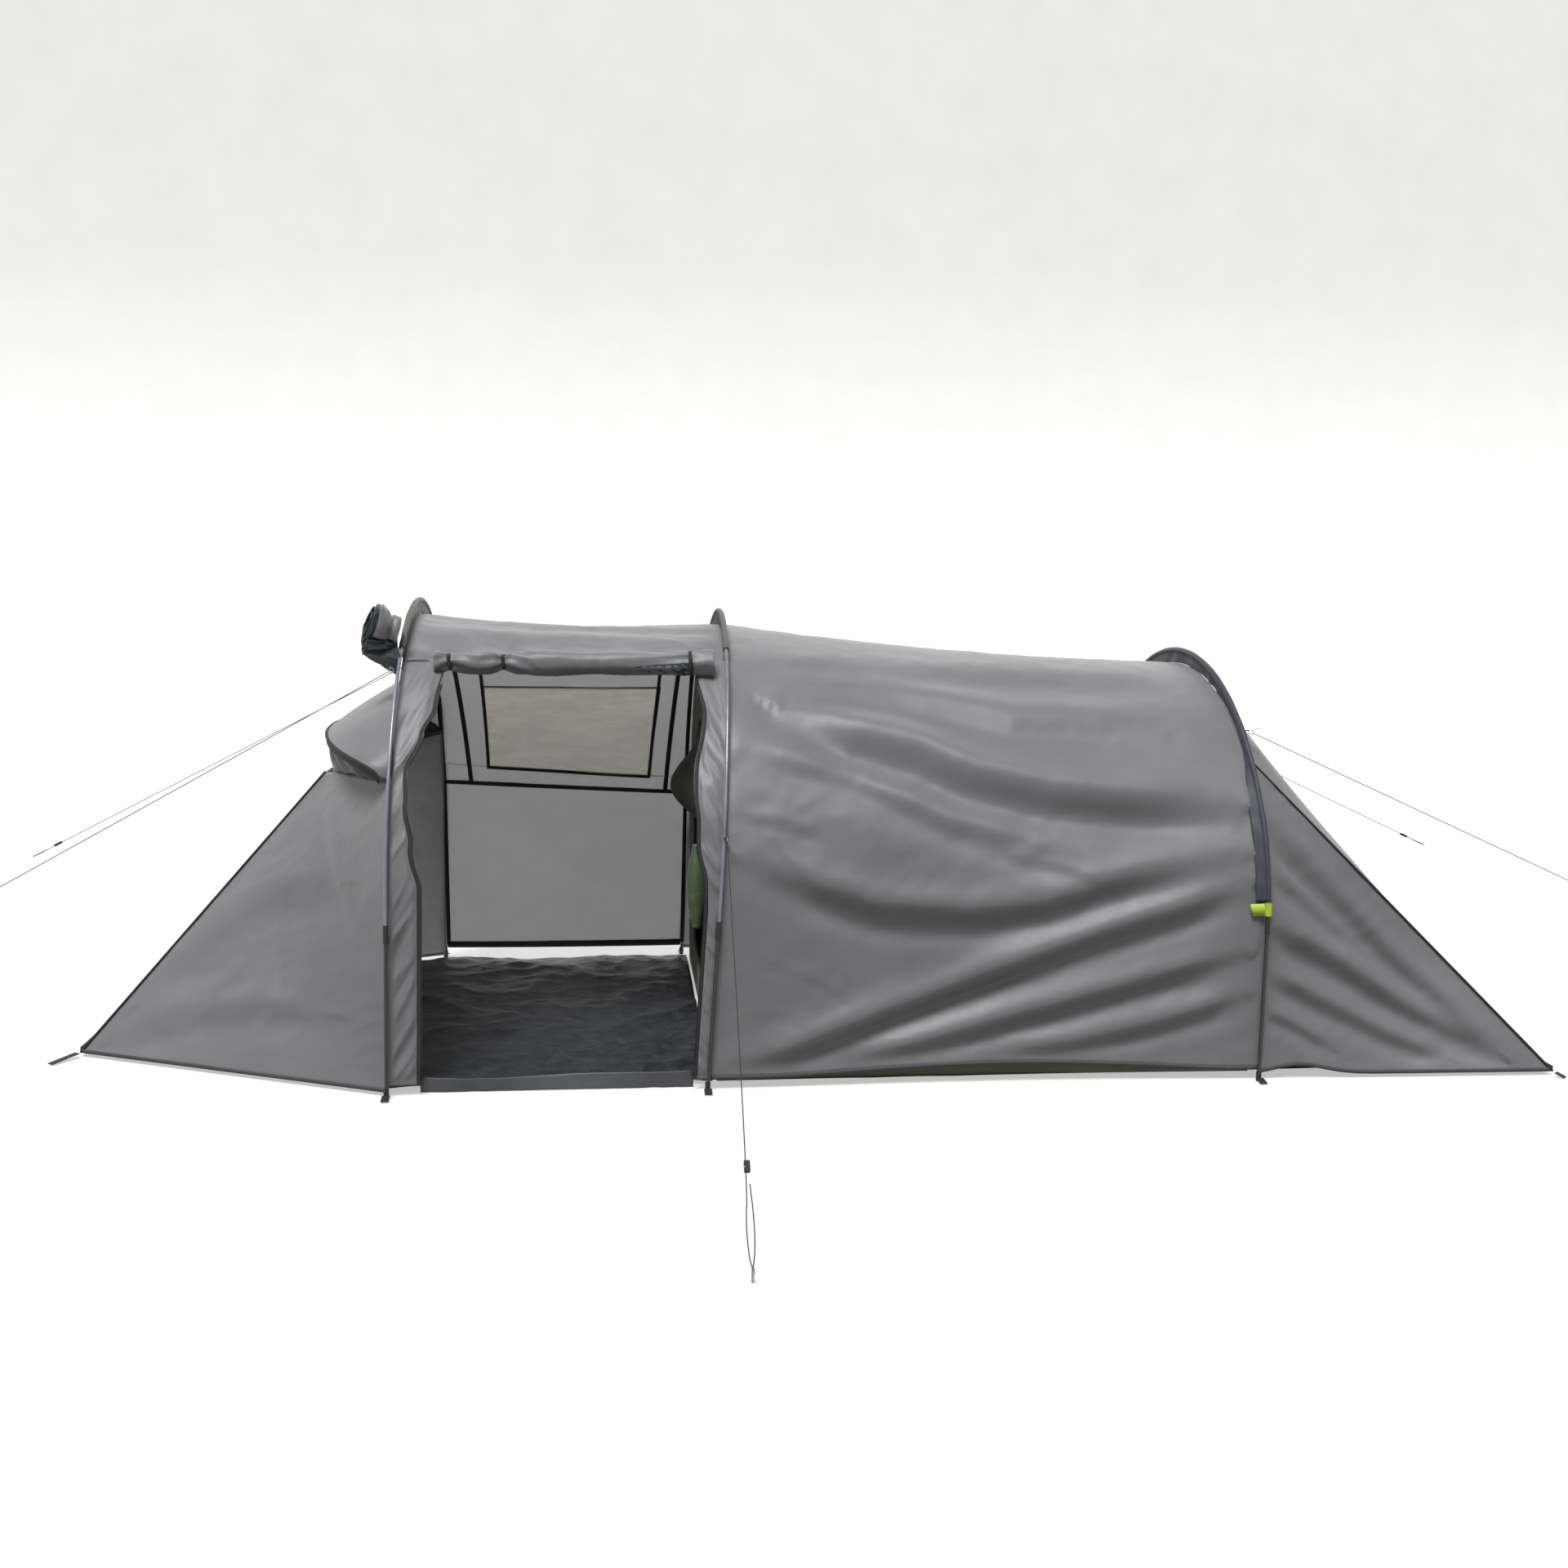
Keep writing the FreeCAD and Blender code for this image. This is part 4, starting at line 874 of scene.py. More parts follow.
def nearest(line, point, around):
    """The share at which a line passes closest to a point."""
    options = [around + (i - 40) * 0.0006 for i in range(81)]
    return min(options, key=lambda t: (line.along(min(max(t, 0), 1)) - point).length)


def sleeve_piece(name, number, low, material, node, sidestep=0.0, columns=120):
    """A sleeve folded round a pole and sewn to the fly, puckered along its length."""
    line, fly = HOOPS[number], FLIES[number]
    a = line.share(low)
    cache = {}

    def frame_at(u):
        if u not in cache:
            t = mix(a, 1 - a, u)
            pole = line.along(t)
            foot = fly.along(nearest(fly, pole, t))
            down = foot - pole
            away = smooth((1.20 - pole.z) / 0.30) * sidestep
            foot = foot + Vector((-away, math.copysign(0.006 if sidestep else 0, pole.y), 0))
            down = foot - pole
            reach = down.length - 0.001
            down.normalize()
            aside = (Vector((1, 0, 0)) - down * down.x).normalized()
            cache[u] = (pole, down, aside, reach)
        return cache[u]

    def place(u, w):
        pole, down, aside, reach = frame_at(round(u, 5))
        radius = 0.0098 + 0.0012 * wrinkle(Vector((u * 9, w * 2, 0)), 3)
        if w < 0.25:
            return pole + down * mix(reach, radius * 0.9, w * 4) + aside * mix(0.0012, radius * 0.45, w * 4)
        if w > 0.75:
            t = w * 4 - 3
            return pole + down * mix(radius * 0.9, reach, t) - aside * mix(radius * 0.45, 0.0012, t)
        angle = math.radians(mix(27, 333, (w - 0.25) * 2))
        return pole + (down * math.cos(angle) + aside * math.sin(angle)) * radius

    def lift(u, w, co):
        puckers = 0.0016 * math.sin(u * 90 + 5 * wrinkle(co, 6)) * smooth(abs(w - 0.5) * 4 - 0.7)
        return puckers + 0.0006 * wrinkle(co, 60)
    mesh, _, area = grid_mesh(name, columns, 28, place, lift)
    piece = finish(name, mesh, material, (node,))
    recalc(piece)
    thicken(piece, 0.0008)
    declare_sheet((0, 0.10), area)
    return piece


def recalc(piece):
    """Merge doubles and point the faces of an open or closed shell outwards."""
    bm = bmesh.new()
    bm.from_mesh(piece.data)
    bmesh.ops.remove_doubles(bm, verts=bm.verts, dist=1e-5)
    bmesh.ops.recalc_face_normals(bm, faces=bm.faces)
    bm.to_mesh(piece.data)
    bm.free()


def build_sleeves():
    """Crown sleeves of the two porch hoops, the long rear sleeve and its lime end bands."""
    sleeve_piece("front_crown_sleeve", 1, CROWN_SLEEVE, "olive", "hoop1_crown_sleeve")
    sleeve_piece("middle_crown_sleeve", 2, CROWN_SLEEVE, "olive", "hoop2_crown_sleeve")
    sleeve_piece("rear_sleeve", 3, REAR_SLEEVE, "navy", "hoop3_sleeve", sidestep=0.040,
                 columns=240)
    for name, side in (("near", NEAR), ("far", FAR)):
        low, high = HOOPS[3].at(BAND_LOW, side), HOOPS[3].at(BAND_HIGH, side)
        bm = bmesh.new()
        bmesh.ops.create_cone(bm, segments=28, radius1=0.0118, radius2=0.0122, depth=(high - low).length)
        ends = [f for f in bm.faces if len(f.verts) > 4]
        bmesh.ops.inset_region(bm, faces=ends, thickness=0.0022)
        turn = (high - low).to_track_quat("Z", "Y").to_matrix().to_4x4()
        bmesh.ops.transform(bm, matrix=Matrix.Translation((low + high) / 2) @ turn, verts=bm.verts)
        uv = bm.loops.layers.uv.new("cloth")
        for face in bm.faces:
            face.smooth = True
            for loop in face.loops:
                loop[uv].uv = (loop.vert.co.x + loop.vert.co.y, loop.vert.co.z)
        mesh = bpy.data.meshes.new("lime_band_" + name)
        bm.to_mesh(mesh)
        bm.free()
        nodes = ("hoop3_sleeve_end_bands",) if side == NEAR else ()
        finish("lime_band_" + name, mesh, "lime", nodes)
        tongue = lambda u, low=low, high=high, side=side: mix(low, high, 0.5) + Vector(
            (-0.010 - 0.045 * u, -side * 0.010 * u + side * 0.002, -0.004 * u))
        ribbon("lime_tongue_" + name, tongue, 0.040, "lime", 10,
               lean=lambda u: Vector((-0.25, 0, 1)))


def build_rolls():
    """The rolled-up side door, its ties and toggles, and the rolled front flap."""
    first = door_line(DOOR_FRONT).at(DOOR_TOP, NEAR)
    last = door_line(DOOR_REAR).at(DOOR_TOP, NEAR)
    centre = (first + last) / 2 + Vector((0, -0.050, 0.004))
    x0, x1 = first.x + 0.007, last.x - 0.007

    def radius_at(u, turn):
        pinch = sum(depth * math.exp(-((u - t) / 0.030) ** 2) for t, depth in TIES)
        ragged = 0.007 * wrinkle(Vector((u * 6, turn * 1.3, 0)), 1.0)
        base = mix(0.039, 0.016, turn) * (1 - min(pinch, 0.5)) + ragged
        return base + 0.007 * smooth((u - 0.84) / 0.1) * (1 - turn)

    def place(u, w):
        turn = w
        angle = -math.pi * 0.35 - w * math.pi * 2 * 3.2
        r = radius_at(u, turn)
        sag = -0.004 * math.sin(math.pi * u) + 0.003 * wrinkle(Vector((u * 4, 0, 0)), 1.0)
        skew = 0.006 * math.sin(w * 20) * smooth(abs(u - 0.5) * 2 - 0.9)
        return Vector((mix(x0, x1, u) + skew, centre.y + r * math.cos(angle) * 0.95,
                       centre.z + sag + r * math.sin(angle)))

    def lift(u, w, co):
        near_tie = sum(math.exp(-((u - t) / 0.09) ** 2) for t, _ in TIES)
        swirl = w * math.tau * 3.2 * 5 + 9 * wrinkle(Vector((u * 3, 0, 0)), 2)
        fan = math.sin(swirl) * 0.0038 * min(near_tie, 1)
        lengthwise = 0.0040 * ridged(Vector((co.x * 0.35, co.y * 2.0, co.z * 2.0)), 12)
        return lengthwise + fan + 0.0012 * wrinkle(co, 45)
    mesh, _, area = grid_mesh("rolled_door_cloth", 170, 150, place, lift, (0.90, 0.62))
    piece = finish("rolled_door_cloth", mesh, "fly", ("rolled_side_door",))
    thicken(piece, 0.0008, 0.0)
    declare_sheet((0, 0.882), area)
    for i, (t, _) in enumerate(TIES):
        x = mix(x0, x1, t)
        ring = []
        for k in range(25):
            a = 2 * math.pi * k / 24
            r = radius_at(t, 0) + 0.004
            ring.append(Vector((x + 0.003 * math.sin(a * 2), centre.y + r * math.cos(a), centre.z - 0.003
                                + r * math.sin(a))))
        band = ribbon("door_tie_%d" % i, lambda u, ring=ring: ring[min(int(u * 24 + 0.5), 24)], 0.012,
                      columns=24, lean=lambda u: Vector((1, 0, 0)))
        if i == 0:
            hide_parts("door_roll_ties")
        toggle(i, Vector((x, centre.y - radius_at(t, 0) - 0.008, centre.z)))

    # painted shade: a near-black patch laid on the underside of the roll's right end
    def lining(u, w):
        angle = math.radians(mix(186, 328, w)) + 0.35 * (0.5 - u)
        r = radius_at(mix(0.75, 0.91, u), 0) + 0.0045 + 0.004 * wrinkle(Vector((u * 5, w * 4, 1)), 2)
        x = mix(x0, x1, mix(0.715, 0.915, u) + 0.04 * w * (1 - u))
        return Vector((x, centre.y + r * math.cos(angle) * 0.95, centre.z + r * math.sin(angle)))
    cloth("rolled_door_painted_shade", 34, 34, lining, material="lining",
          lift=lambda u, w, co: 0.0045 * ridged(Vector((co.x * 2 + co.z * 2, 0, co.z)), 14))
    build_flap()


def toggle(i, place):
    """A moulded toggle: a waisted barrel on its loop."""
    bm = bmesh.new()
    rings = [(-0.018, 0.0030), (-0.016, 0.0046), (-0.009, 0.0042), (0.0, 0.0030), (0.009, 0.0042),
             (0.016, 0.0046), (0.018, 0.0030)]
    profile = [bm.verts.new((r, 0, z)) for z, r in [(-0.0186, 0.0)] + rings + [(0.0186, 0.0)]]
    edges = [bm.edges.new(pair) for pair in zip(profile, profile[1:])]
    bmesh.ops.spin(bm, geom=profile + edges, cent=(0, 0, 0), axis=(0, 0, 1), angle=math.tau, steps=20,
                   use_merge=True)
    bmesh.ops.remove_doubles(bm, verts=bm.verts, dist=1e-5)
    bmesh.ops.recalc_face_normals(bm, faces=bm.faces)
    bmesh.ops.transform(bm, matrix=Matrix.Translation(place) @ Matrix.Rotation(0.15 * (i - 1), 4, "Y"),
                        verts=bm.verts)
    for face in bm.faces:
        face.smooth = True
    mesh = bpy.data.meshes.new("roll_toggle_%d" % i)
    bm.to_mesh(mesh)
    bm.free()
    nodes = ("door_roll_toggles",) if i == 0 else ()
    finish("roll_toggle_%d" % i, mesh, "nylon", nodes)


def build_flap():
    """The rolled front flap: a flared roll whose mouth and inner turns are painted near-black as shade, and
    the loose folds hanging below it, painted dark as shade.
    """
    base, tilt = Vector((-1.388, -0.500, 1.452)), math.radians(70)
    axis = Vector((-math.sin(tilt), -0.34, math.cos(tilt))).normalized()
    side = (Vector((0, -1, 0)) + axis * axis.y).normalized()
    up = axis.cross(side)

    def spread(u):
        waist = 1 - 0.14 * math.exp(-((u - 0.34) / 0.14) ** 2)
        return mix(0.058, 0.076, smooth(u * 1.1)) * waist

    def spiral(u, w):
        angle = -0.6 - w * math.tau * 2.4
        r = (spread(u) - 0.004) * (1 - 0.60 * w) + 0.004 * wrinkle(Vector((u * 3, w * 5, 2.0)), 1.5)
        reach = u * 0.104 - 0.012 * (1 - w) * smooth(u)
        return base + axis * reach + side * r * math.cos(angle) * 0.80 + up * r * math.sin(angle)

    def crease(u, w, co):
        return 0.0030 * ridged(co, 18) + 0.0012 * wrinkle(co, 50)
    # the inner turns seen in the roll's mouth are painted near-black as shade
    mesh, _, area = grid_mesh("rolled_flap_cloth", 50, 170, spiral, crease, (0.10, 0.70))
    piece = finish("rolled_flap_cloth", mesh, "lining", ("rolled_front_flap",))
    thicken(piece, 0.0009, 0.0)
    declare_sheet((0, 0.104), area)

    def skin(u, w):
        angle = math.radians(mix(236, -22, w))
        r = spread(u) + 0.003 * wrinkle(Vector((u * 3, w * 3, 5.0)), 1.6)
        reach = 0.004 + u * 0.080 - 0.010 * abs(w - 0.5)
        return base + axis * reach + side * r * math.cos(angle) * 0.80 + up * r * math.sin(angle)
    cloth("rolled_flap_outer", 40, 60, skin,
          lift=lambda u, w, co: 0.0042 * ridged(Vector((co.x * 2.2, co.y, co.z + co.x)), 15))

    def drop(u, w):
        angle = w * math.tau
        heading = Vector((-0.983, 0, 0.18))
        r = mix(0.056, 0.012, u ** 0.8) * (1 + 0.30 * math.cos(angle * 5 + u * 3))
        middle = base + Vector((0.000, 0, -0.062)) + (heading * 0.112 - Vector((0, 0, 0.012))) * u
        return middle + side * r * math.cos(angle) + Vector((0, 0, r * math.sin(angle) * 1.15))
    # the folds hanging under the roll are painted near-black as shade
    cloth("rolled_flap_folds", 40, 120, drop, material="lining",
          lift=lambda u, w, co: 0.0025 * ridged(co, 24))
    loop = [base + axis * 0.030 + side * 0.042 * math.cos(a) + up * 0.050 * math.sin(a)
            for a in (math.tau * k / 24 for k in range(25))]
    tube("flap_tie", loop, 0.0035, "webbing")


def build_inner():
    """The inner tent: tunnel, foot end, front wall with its arched door and mesh vent, rolled door."""
    first, last = FLIES[2].inset(INNER_GAP, INNER_GAP), FLIES[3].inset(INNER_GAP, INNER_GAP)
    first.x, first.lean, last.lean = INNER_FRONT, 0.0, 0.0
    base = 0.0036
    tunnel = hoop_surface(first, last, lambda a, u: a.share(base), lambda a, u: 1 - a.share(base))

    def slack(u, w, co):
        return -0.006 + 0.007 * math.sin(u * 17 + 4 * wrinkle(co, 2)) * edge_ease(u, w, 0.06)
    cloth("inner_tunnel", 90, 120, tunnel, material="inner", nodes=("inner_tunnel_wall",), lift=slack)
    a = last.share(base + 0.020)

    def foot(u, w):
        root = last.along(mix(a, 1 - a, u)) + Vector((0.002, 0, 0))
        low = Vector((INNER_REAR, root.y * 0.94, root.z * INNER_REAR_Z / last.crown))
        return mix(low, root, w)
    cloth("inner_foot", 80, 40, foot, material="inner", nodes=("inner_foot_end",),
          lift=lambda u, w, co: 0.004 * wrinkle(co, 5))
    build_inner_front(first.inset(0.003, 0.003))


def door_outline(t):
    """The arched inner door: round top, straight sides and rounded sill, by a share of its turn."""
    angle = math.tau * t - math.pi / 2
    y, z = math.cos(angle), math.sin(angle)
    if z >= 0:
        return Vector((0, INNER_HALF * y, INNER_MIDDLE + INNER_HALF * z))
    power, drop = 0.35, 0.510
    half = INNER_HALF * math.copysign(abs(y) ** power, y)
    return Vector((0, half, INNER_MIDDLE - drop * abs(z) ** power))


def build_inner_front(line):
    """Front wall of the inner tent, a ring of cloth round the arched door."""
    x = line.x - 0.004

    def wall_edge(t):
        angle = math.tau * t - math.pi / 2
        way = Vector((0, math.cos(angle), math.sin(angle)))
        low, high = 0.0, 2.0
        for _ in range(22):
            mid = (low + high) / 2
            y, z = abs(way.y * mid), INNER_MIDDLE + way.z * mid
            edge = abs(line.along(line.share(min(max(z, 0.004), line.crown))).y)
            inside = 0.004 < z < line.crown and y < edge
            low, high = (mid, high) if inside else (low, mid)
        return Vector((0, way.y * low, INNER_MIDDLE + way.z * low))

    def place(u, w):
        point = mix(door_outline(u % 1.0), wall_edge(u % 1.0), w)
        return Vector((x + 0.012 * wrinkle(point, 4.0) * w * (1 - w) * 3, point.y, point.z))
    mesh, spans, area = grid_mesh("inner_front", 160, 24, place, None, (4.6, 0.55))
    piece = finish("inner_front", mesh, "inner", ("inner_front_wall",))
    recalc(piece)
    thicken(piece, 0.0008, 0.0)
    rim = [door_outline(i / 80) + Vector((x - 0.002, 0, 0)) for i in range(81)]
    tube("inner_door_zip", rim, 0.005, "webbing")

    def moon(u, w):
        half = math.sqrt(max(1 - (0.16 + 0.84 * w) ** 2, 0.0)) * 0.426
        bulge = 0.190 * (1 - (2 * u - 1) ** 2) * math.sin(math.pi * min(w * 1.15, 1.0)) * (1 - w)
        slack = 0.004 * wrinkle(Vector((u, w, 0)), 2) * w
        return Vector((x - 0.001 - bulge + slack, mix(half, -half, u),
                       INNER_MIDDLE + 0.426 * (0.16 + 0.84 * w)))
    cloth("inner_mesh", 40, 24, moon, material="mesh", nodes=("inner_mesh_vent",))
    tube("inner_mesh_seam", [moon(i / 20, 0) + Vector((-0.002, 0, 0)) for i in range(21)], 0.004, "webbing")

    def pouch(u, w):
        angle = w * math.tau * 2.3
        swell = 0.35 + 0.65 * math.sin(math.pi * min(max(u, 0.04), 0.96))
        r = 0.040 * swell * (1 - 0.5 * w)
        y = -0.460 + r * math.sin(angle) * 0.9
        return Vector((x - 0.044 + r * math.cos(angle), y, 0.432 + 0.296 * u))
    mesh, spans, area = grid_mesh("inner_door_rolled", 50, 90, pouch,
                                  lambda u, w, co: 0.002 * ridged(co, 20), (0.30, 0.40))
    piece = finish("inner_door_rolled", mesh, "green", ("inner_door_roll",))
    thicken(piece, 0.0008, 0.0)
    declare_sheet((0, 0.300), area)


def build_ground():
    """The black porch groundsheet, the grey sill and the inner floor."""
    def sheet_place(u, w):
        x = mix(-1.500, -0.345, u)
        half = 0.878 - 0.5 * max(-1.385 - x, 0.0)
        return Vector((x, mix(-half, half, w), 0.003))

    def crinkle(u, w, co):
        body = 0.009 * ridged(co, 3.2) + 0.005 * ridged(co, 8.5, 0.3) + 0.002 * wrinkle(co, 26)
        return max(body * 0.8 + 0.004, 0.0) + 0.0005
    cloth("porch_ground_film", 110, 190, sheet_place, material="ground", nodes=("porch_groundsheet",),
          lift=crinkle, thickness=0.0006)
    sill = lambda u, w: Vector((mix(-1.284, -0.410, u), -0.902 - 0.012 * math.sin(u * 9) * w,
                                mix(0.001, 0.052, w) - 0.006 * w * math.sin(u * 5)))
    cloth("door_sill", 60, 12, sill, material="sill", nodes=("door_threshold",),
          lift=lambda u, w, co: 0.002 * ridged(co, 14))
    tub = lambda u, w: Vector((mix(-0.325, 2.045, u), mix(-0.855, 0.855, w), 0.003))
    cloth("inner_floor", 60, 60, tub, material="ground", nodes=("inner_tub_floor",),
          lift=lambda u, w, co: 0.0008 + 0.0025 * abs(wrinkle(co, 4)))


def build_zips():
    """Coil zips down both sides of the doorway, with their sliders and pull tabs."""
    low, high = HEM + 0.010, DOOR_TOP - 0.070
    for name, away in (("front", 1), ("rear", -1)):
        def place(u, w, name=name, away=away):
            point = jamb_line(name, mix(low, high, w))
            return point + Vector((away * (0.0012 + 0.012 * (u if away > 0 else 1 - u)), -0.001, 0))
        cloth("zip_tape_" + name, 3, 160, place, material="zip", nodes=("door_zip_" + name,),
              thickness=0.0007)
        bm = bmesh.new()
        count = 240
        for i in range(count):
            z = mix(low, high, (i + 0.5) / count)
            point, ahead = jamb_line(name, z), jamb_line(name, z + 0.002)
            turn = (ahead - point).to_track_quat("Z", "Y").to_matrix().to_4x4()
            spot = point + Vector((away * 0.0125, -0.0022, 0))
            bmesh.ops.create_cube(bm, size=1.0, matrix=Matrix.Translation(spot) @ turn
                                  @ Matrix.Diagonal((0.0034, 0.0022, 0.0030, 1)))
        mesh = bpy.data.meshes.new("zip_coil_" + name)
        bm.to_mesh(mesh)
        bm.free()
        finish("zip_coil_" + name, mesh, "nylon")
        shape_slider(name)


def shape_slider(name):
    """A bevelled slider body with its bridge, and a tapered pull tab with an eye."""
    low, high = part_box("door_slider_" + name)
    centre, span = (low + high) / 2, high - low
    bm = bmesh.new()
    bmesh.ops.create_cube(bm, size=1.0, matrix=Matrix.Translation(centre) @ Matrix.Diagonal((*span, 1)))
    ends = [v for v in bm.verts if v.co.z < centre.z]
    bmesh.ops.scale(bm, vec=(0.72, 1, 1), verts=ends, space=Matrix.Translation(-centre))
    bmesh.ops.bevel(bm, geom=list(bm.edges), offset=0.0016, segments=3, profile=0.5, affect="EDGES",
                    material=-1)
    front = [f for f in bm.faces if f.normal.y < -0.9]
    bmesh.ops.inset_region(bm, faces=front, thickness=0.0016, depth=-0.0008)
    mesh = bpy.data.meshes.new("zip_slider_" + name)
    for face in bm.faces:
        face.smooth = True
    bm.to_mesh(mesh)
    bm.free()
    finish("zip_slider_" + name, mesh, "nylon", ("door_slider_" + name,), "slider_" + name)
    low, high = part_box("door_pull_" + name)
    centre, span = (low + high) / 2, high - low
    bm = bmesh.new()
    bmesh.ops.create_cube(bm, size=1.0, matrix=Matrix.Translation(centre) @ Matrix.Diagonal((*span, 1)))
    tops = [v for v in bm.verts if v.co.z > centre.z]
    bmesh.ops.scale(bm, vec=(0.55, 1, 1), verts=tops, space=Matrix.Translation(-centre))
    sides = [e for e in bm.edges if abs((e.verts[0].co - e.verts[1].co).normalized().y) > 0.9]
    bmesh.ops.bevel(bm, geom=sides, offset=0.0022, segments=4, profile=0.5, affect="EDGES", material=-1)
    faces = [f for f in bm.faces if abs(f.normal.y) > 0.9]
    bmesh.ops.inset_region(bm, faces=faces, thickness=0.0015, depth=-0.0005)
    for face in bm.faces:
        face.smooth = False
    mesh = bpy.data.meshes.new("zip_pull_tab_" + name)
    bm.to_mesh(mesh)
    bm.free()
    finish("zip_pull_tab_" + name, mesh, "webbing", ("door_pull_" + name,), "pull_" + name)


GUY_ROUTES = {
    "left_near": [(-1.3978, -0.6206, 1.3320), (-2.8900, -1.0050, 0.4820), (-2.9314, -1.0022, 0.4603),
                  (-2.9668, -1.0228, 0.4385), (-2.9257, -1.0276, 0.4598), (-2.8923, -1.0103, 0.4801)],
    "left_far": [(-1.3978, 0.6206, 1.3320), (-3.0300, 0.9850, 0.4780), (-3.0663, 1.0064, 0.4575),
                  (-3.1078, 1.0044, 0.4371), (-3.0727, 0.9812, 0.4571), (-3.0345, 0.9813, 0.4762)],
    "right_near": [(1.5282, -0.6750, 1.1420), (3.0000, -1.0100, 0.4680), (3.0372, -1.0318, 0.4497),
                  (3.0797, -1.0301, 0.4313), (3.0438, -1.0066, 0.4493), (3.0046, -1.0064, 0.4664)],
    "right_far": [(1.5282, 0.6750, 1.1420), (3.0100, 0.9850, 0.4900), (3.0531, 0.9807, 0.4722),
                  (3.0913, 1.0000, 0.4544), (3.0486, 1.0064, 0.4718), (3.0127, 0.9902, 0.4884)],
    "centre": [(-0.3087, -0.9573, 0.8200), (-0.3380, -2.1280, 0.1520), (-0.3541, -2.2514, 0.0814),
                  (-0.3461, -2.3754, 0.0108), (-0.3282, -2.2545, 0.0800), (-0.3335, -2.1316, 0.1500)],
}


def build_guylines():
    """Five guylines, each one taut run to its runner and end loop."""
    diameter = bpy.context.scene.tent_sizes.cord
    for name, points in GUY_ROUTES.items():
        dark = name == "centre"
        piece = tube("guy_cord_" + name, [Vector(p) for p in points], diameter / 2,
                     "dark_cord" if dark else "cord",
                     nodes=("guyline_" + name,))
        piece.data.splines[0].resolution_u = 16


CAD_FINISHES = {
    "hoop1_upper_pole": "pole", "hoop2_upper_pole": "pole", "hoop3_upper_pole": "pole",
    "hoop1_legs": "black_pole", "hoop2_legs": "black_pole", "hoop3_legs": "black_pole",
    "pole_ferrules": "nylon", "pole_foot_cups": "nylon", "guy_rings": "steel",
    "guy_ring_webbing": "webbing", "rear_hoop_tags": "blue", "corner_peg_straps": "webbing",
    "foot_webbing_straps": "webbing", "centre_peg_head": "steel",
    "guy_runner_left_near": "nylon", "guy_runner_left_far": "nylon", "guy_runner_right_near": "nylon",
    "guy_runner_right_far": "nylon", "guy_runner_centre": "nylon",
}


def dress_cad():
    """Give the frame's own pieces that stay visible their real finishes."""
    for node, finish_name in CAD_FINISHES.items():
        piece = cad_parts[node]
        piece.data.materials.clear()
        piece.data.materials.append(MATERIALS[finish_name])


def build_stage():
    """A pale floor swept up into a backdrop, soft light from above and behind, and the camera."""
    bm = bmesh.new()
    bmesh.ops.create_grid(bm, x_segments=2, y_segments=60, size=1.0)
    for vert in bm.verts:
        along = (vert.co.y + 1) / 2 * 60
        bend = min(max(along - 34, 0) / 12, 1) * math.pi / 2
        flat = min(along, 34)
        vert.co = (vert.co.x * 60, flat - 16 + 7.64 * math.sin(bend),
                   7.64 * (1 - math.cos(bend)) + max(along - 46, 0) * 2)
    for face in bm.faces:
        face.smooth = True
    mesh = bpy.data.meshes.new("studio_sweep")
    bm.to_mesh(mesh)
    bm.free()
    sweep = bpy.data.objects.new("studio_sweep", mesh)
    sweep.location.z = -0.001
    bpy.context.scene.collection.objects.link(sweep)
    mesh.materials.append(MATERIALS["floor"])
    sweep.visible_diffuse = False
    sweep.visible_shadow = False
    world = bpy.data.worlds.new("studio")
    bpy.context.scene.world = world
    world.use_nodes = True
    world.node_tree.nodes["Background"].inputs["Color"].default_value = linear("f2f2f4")
    world.node_tree.nodes["Background"].inputs["Strength"].default_value = 0.36
    suns = (("key", (-0.22, -0.46, 1.0), 24, 4.3), ("back", (0.25, 1.0, 0.38), 50, 2.6))
    for name, place, spread, power in suns:
        light = bpy.data.lights.new(name, "SUN")
        light.angle, light.energy = math.radians(spread), power
        lamp = bpy.data.objects.new(name, light)
        lamp.location = Vector(place) * 6
        lamp.rotation_euler = Vector(place).to_track_quat("Z", "Y").to_euler()
        bpy.context.scene.collection.objects.link(lamp)
    yaw, pitch, roll = 0.1106, 0.1296, 0.0132
    forward = Vector((math.sin(yaw) * math.cos(pitch), math.cos(yaw) * math.cos(pitch), -math.sin(pitch)))
    right = Vector((math.cos(yaw), -math.sin(yaw), 0))
    up = right.cross(forward)
    turned = right * math.cos(roll) + up * math.sin(roll)
    upright = up * math.cos(roll) - right * math.sin(roll)
    data = bpy.data.cameras.new("camera")
    data.lens = 36.68
    data.sensor_width = 36.0
    camera = bpy.data.objects.new("camera", data)
    camera.matrix_world = Matrix((turned, upright, -forward)).transposed().to_4x4()
    camera.location = (-0.685, -5.951, 1.66)
    bpy.context.scene.collection.objects.link(camera)
    bpy.context.scene.camera = camera
    bpy.context.scene.view_settings.view_transform = "Standard"


# ------------------------------------------------------------ operators

class TENT_OT_stage(bpy.types.Operator):
    """Floor, light and camera"""
    bl_idname = "tent.stage"
    bl_label = "Stage"

    def execute(self, context):
        build_stage()
        return {"FINISHED"}


class TENT_OT_guylines(bpy.types.Operator):
    """Five taut guylines with their end loops"""
    bl_idname = "tent.guylines"
    bl_label = "Guylines"

    def execute(self, context):
        build_guylines()
        return {"FINISHED"}


class TENT_OT_sleeping_fly(bpy.types.Operator):
    """The long fly over the sleeping cabin"""
    bl_idname = "tent.sleeping_fly"
    bl_label = "Sleeping fly"

    def execute(self, context):
        build_sleeping_fly()
        return {"FINISHED"}


class TENT_OT_porch(bpy.types.Operator):
    """Porch roof, door jambs and windowed far wall"""
    bl_idname = "tent.porch"
    bl_label = "Porch"

    def execute(self, context):
        build_porch()
        return {"FINISHED"}


class TENT_OT_front(bpy.types.Operator):
    """Front sides, end, hood and vent"""
    bl_idname = "tent.front"
    bl_label = "Front wedge"

    def execute(self, context):
        build_front()
        return {"FINISHED"}


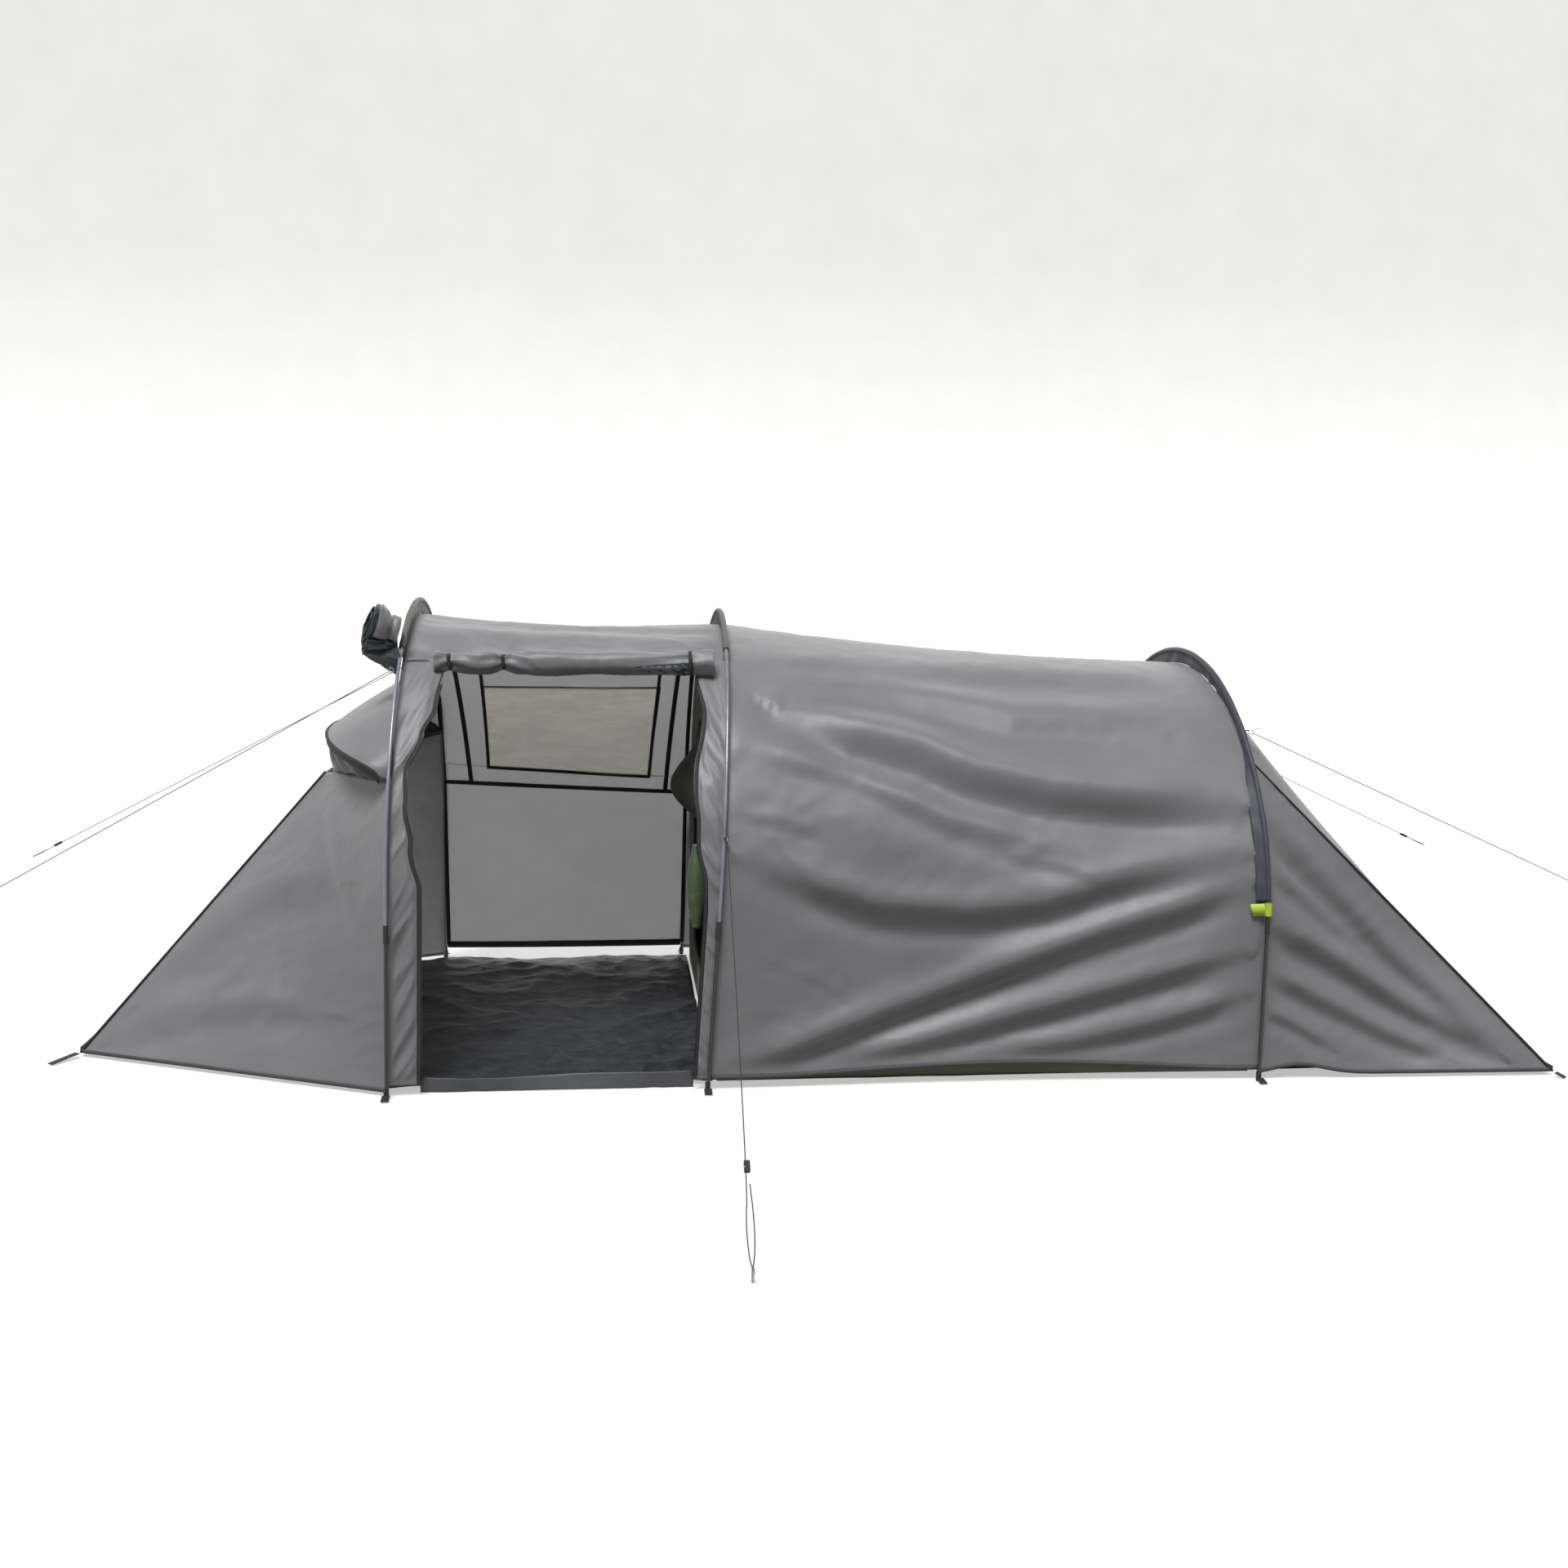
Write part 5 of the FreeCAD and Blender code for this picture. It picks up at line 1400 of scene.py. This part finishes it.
class TENT_OT_tail(bpy.types.Operator):
    """Tail sides and end"""
    bl_idname = "tent.tail"
    bl_label = "Tail wedge"

    def execute(self, context):
        build_tail()
        return {"FINISHED"}


class TENT_OT_sleeves(bpy.types.Operator):
    """Crown sleeves, rear sleeve and its lime bands"""
    bl_idname = "tent.sleeves"
    bl_label = "Sleeves"

    def execute(self, context):
        build_sleeves()
        return {"FINISHED"}


class TENT_OT_rolls(bpy.types.Operator):
    """Rolled door and flap with ties and toggles"""
    bl_idname = "tent.rolls"
    bl_label = "Rolls"

    def execute(self, context):
        build_rolls()
        return {"FINISHED"}


class TENT_OT_inner(bpy.types.Operator):
    """Sleeping cabin inside the fly"""
    bl_idname = "tent.inner"
    bl_label = "Inner tent"

    def execute(self, context):
        build_inner()
        return {"FINISHED"}


class TENT_OT_ground(bpy.types.Operator):
    """Groundsheet, sill and inner floor"""
    bl_idname = "tent.ground"
    bl_label = "Ground pieces"

    def execute(self, context):
        build_ground()
        return {"FINISHED"}


class TENT_OT_zips(bpy.types.Operator):
    """Door zips, sliders and pull tabs"""
    bl_idname = "tent.zips"
    bl_label = "Zips"

    def execute(self, context):
        build_zips()
        return {"FINISHED"}


class TENT_OT_frame_finish(bpy.types.Operator):
    """Finishes of the poles and fittings"""
    bl_idname = "tent.frame_finish"
    bl_label = "Frame finish"

    def execute(self, context):
        dress_cad()
        return {"FINISHED"}


OPERATORS = (
    TENT_OT_stage, TENT_OT_guylines, TENT_OT_sleeping_fly, TENT_OT_porch, TENT_OT_front, TENT_OT_tail,
    TENT_OT_sleeves, TENT_OT_rolls, TENT_OT_inner, TENT_OT_ground, TENT_OT_zips, TENT_OT_frame_finish,
)


class TENT_PT_panel(bpy.types.Panel):
    """Sidebar panel listing the tent's builders."""
    bl_label = "Tunnel tent"
    bl_idname = "TENT_PT_panel"
    bl_space_type = "VIEW_3D"
    bl_region_type = "UI"
    bl_category = "Tent"

    def draw(self, context):
        for piece in OPERATORS:
            self.layout.operator(piece.bl_idname)


def register():
    """Register the settings, the operators and the panel."""
    for cls in [TentSizes, TentColours, *OPERATORS, TENT_PT_panel]:
        bpy.utils.register_class(cls)
    bpy.types.Scene.tent_sizes = bpy.props.PointerProperty(type=TentSizes)
    bpy.types.Scene.tent_colours = bpy.props.PointerProperty(type=TentColours)


def unregister():
    """Take everything away again."""
    del bpy.types.Scene.tent_sizes
    del bpy.types.Scene.tent_colours
    for cls in [TENT_PT_panel, *reversed(OPERATORS), TentColours, TentSizes]:
        bpy.utils.unregister_class(cls)


def main():
    """Build the whole tent."""
    register()
    make_materials()
    for piece in OPERATORS:
        getattr(bpy.ops.tent, piece.bl_idname.split(".")[1])()


if __name__ == "__main__":
    main()
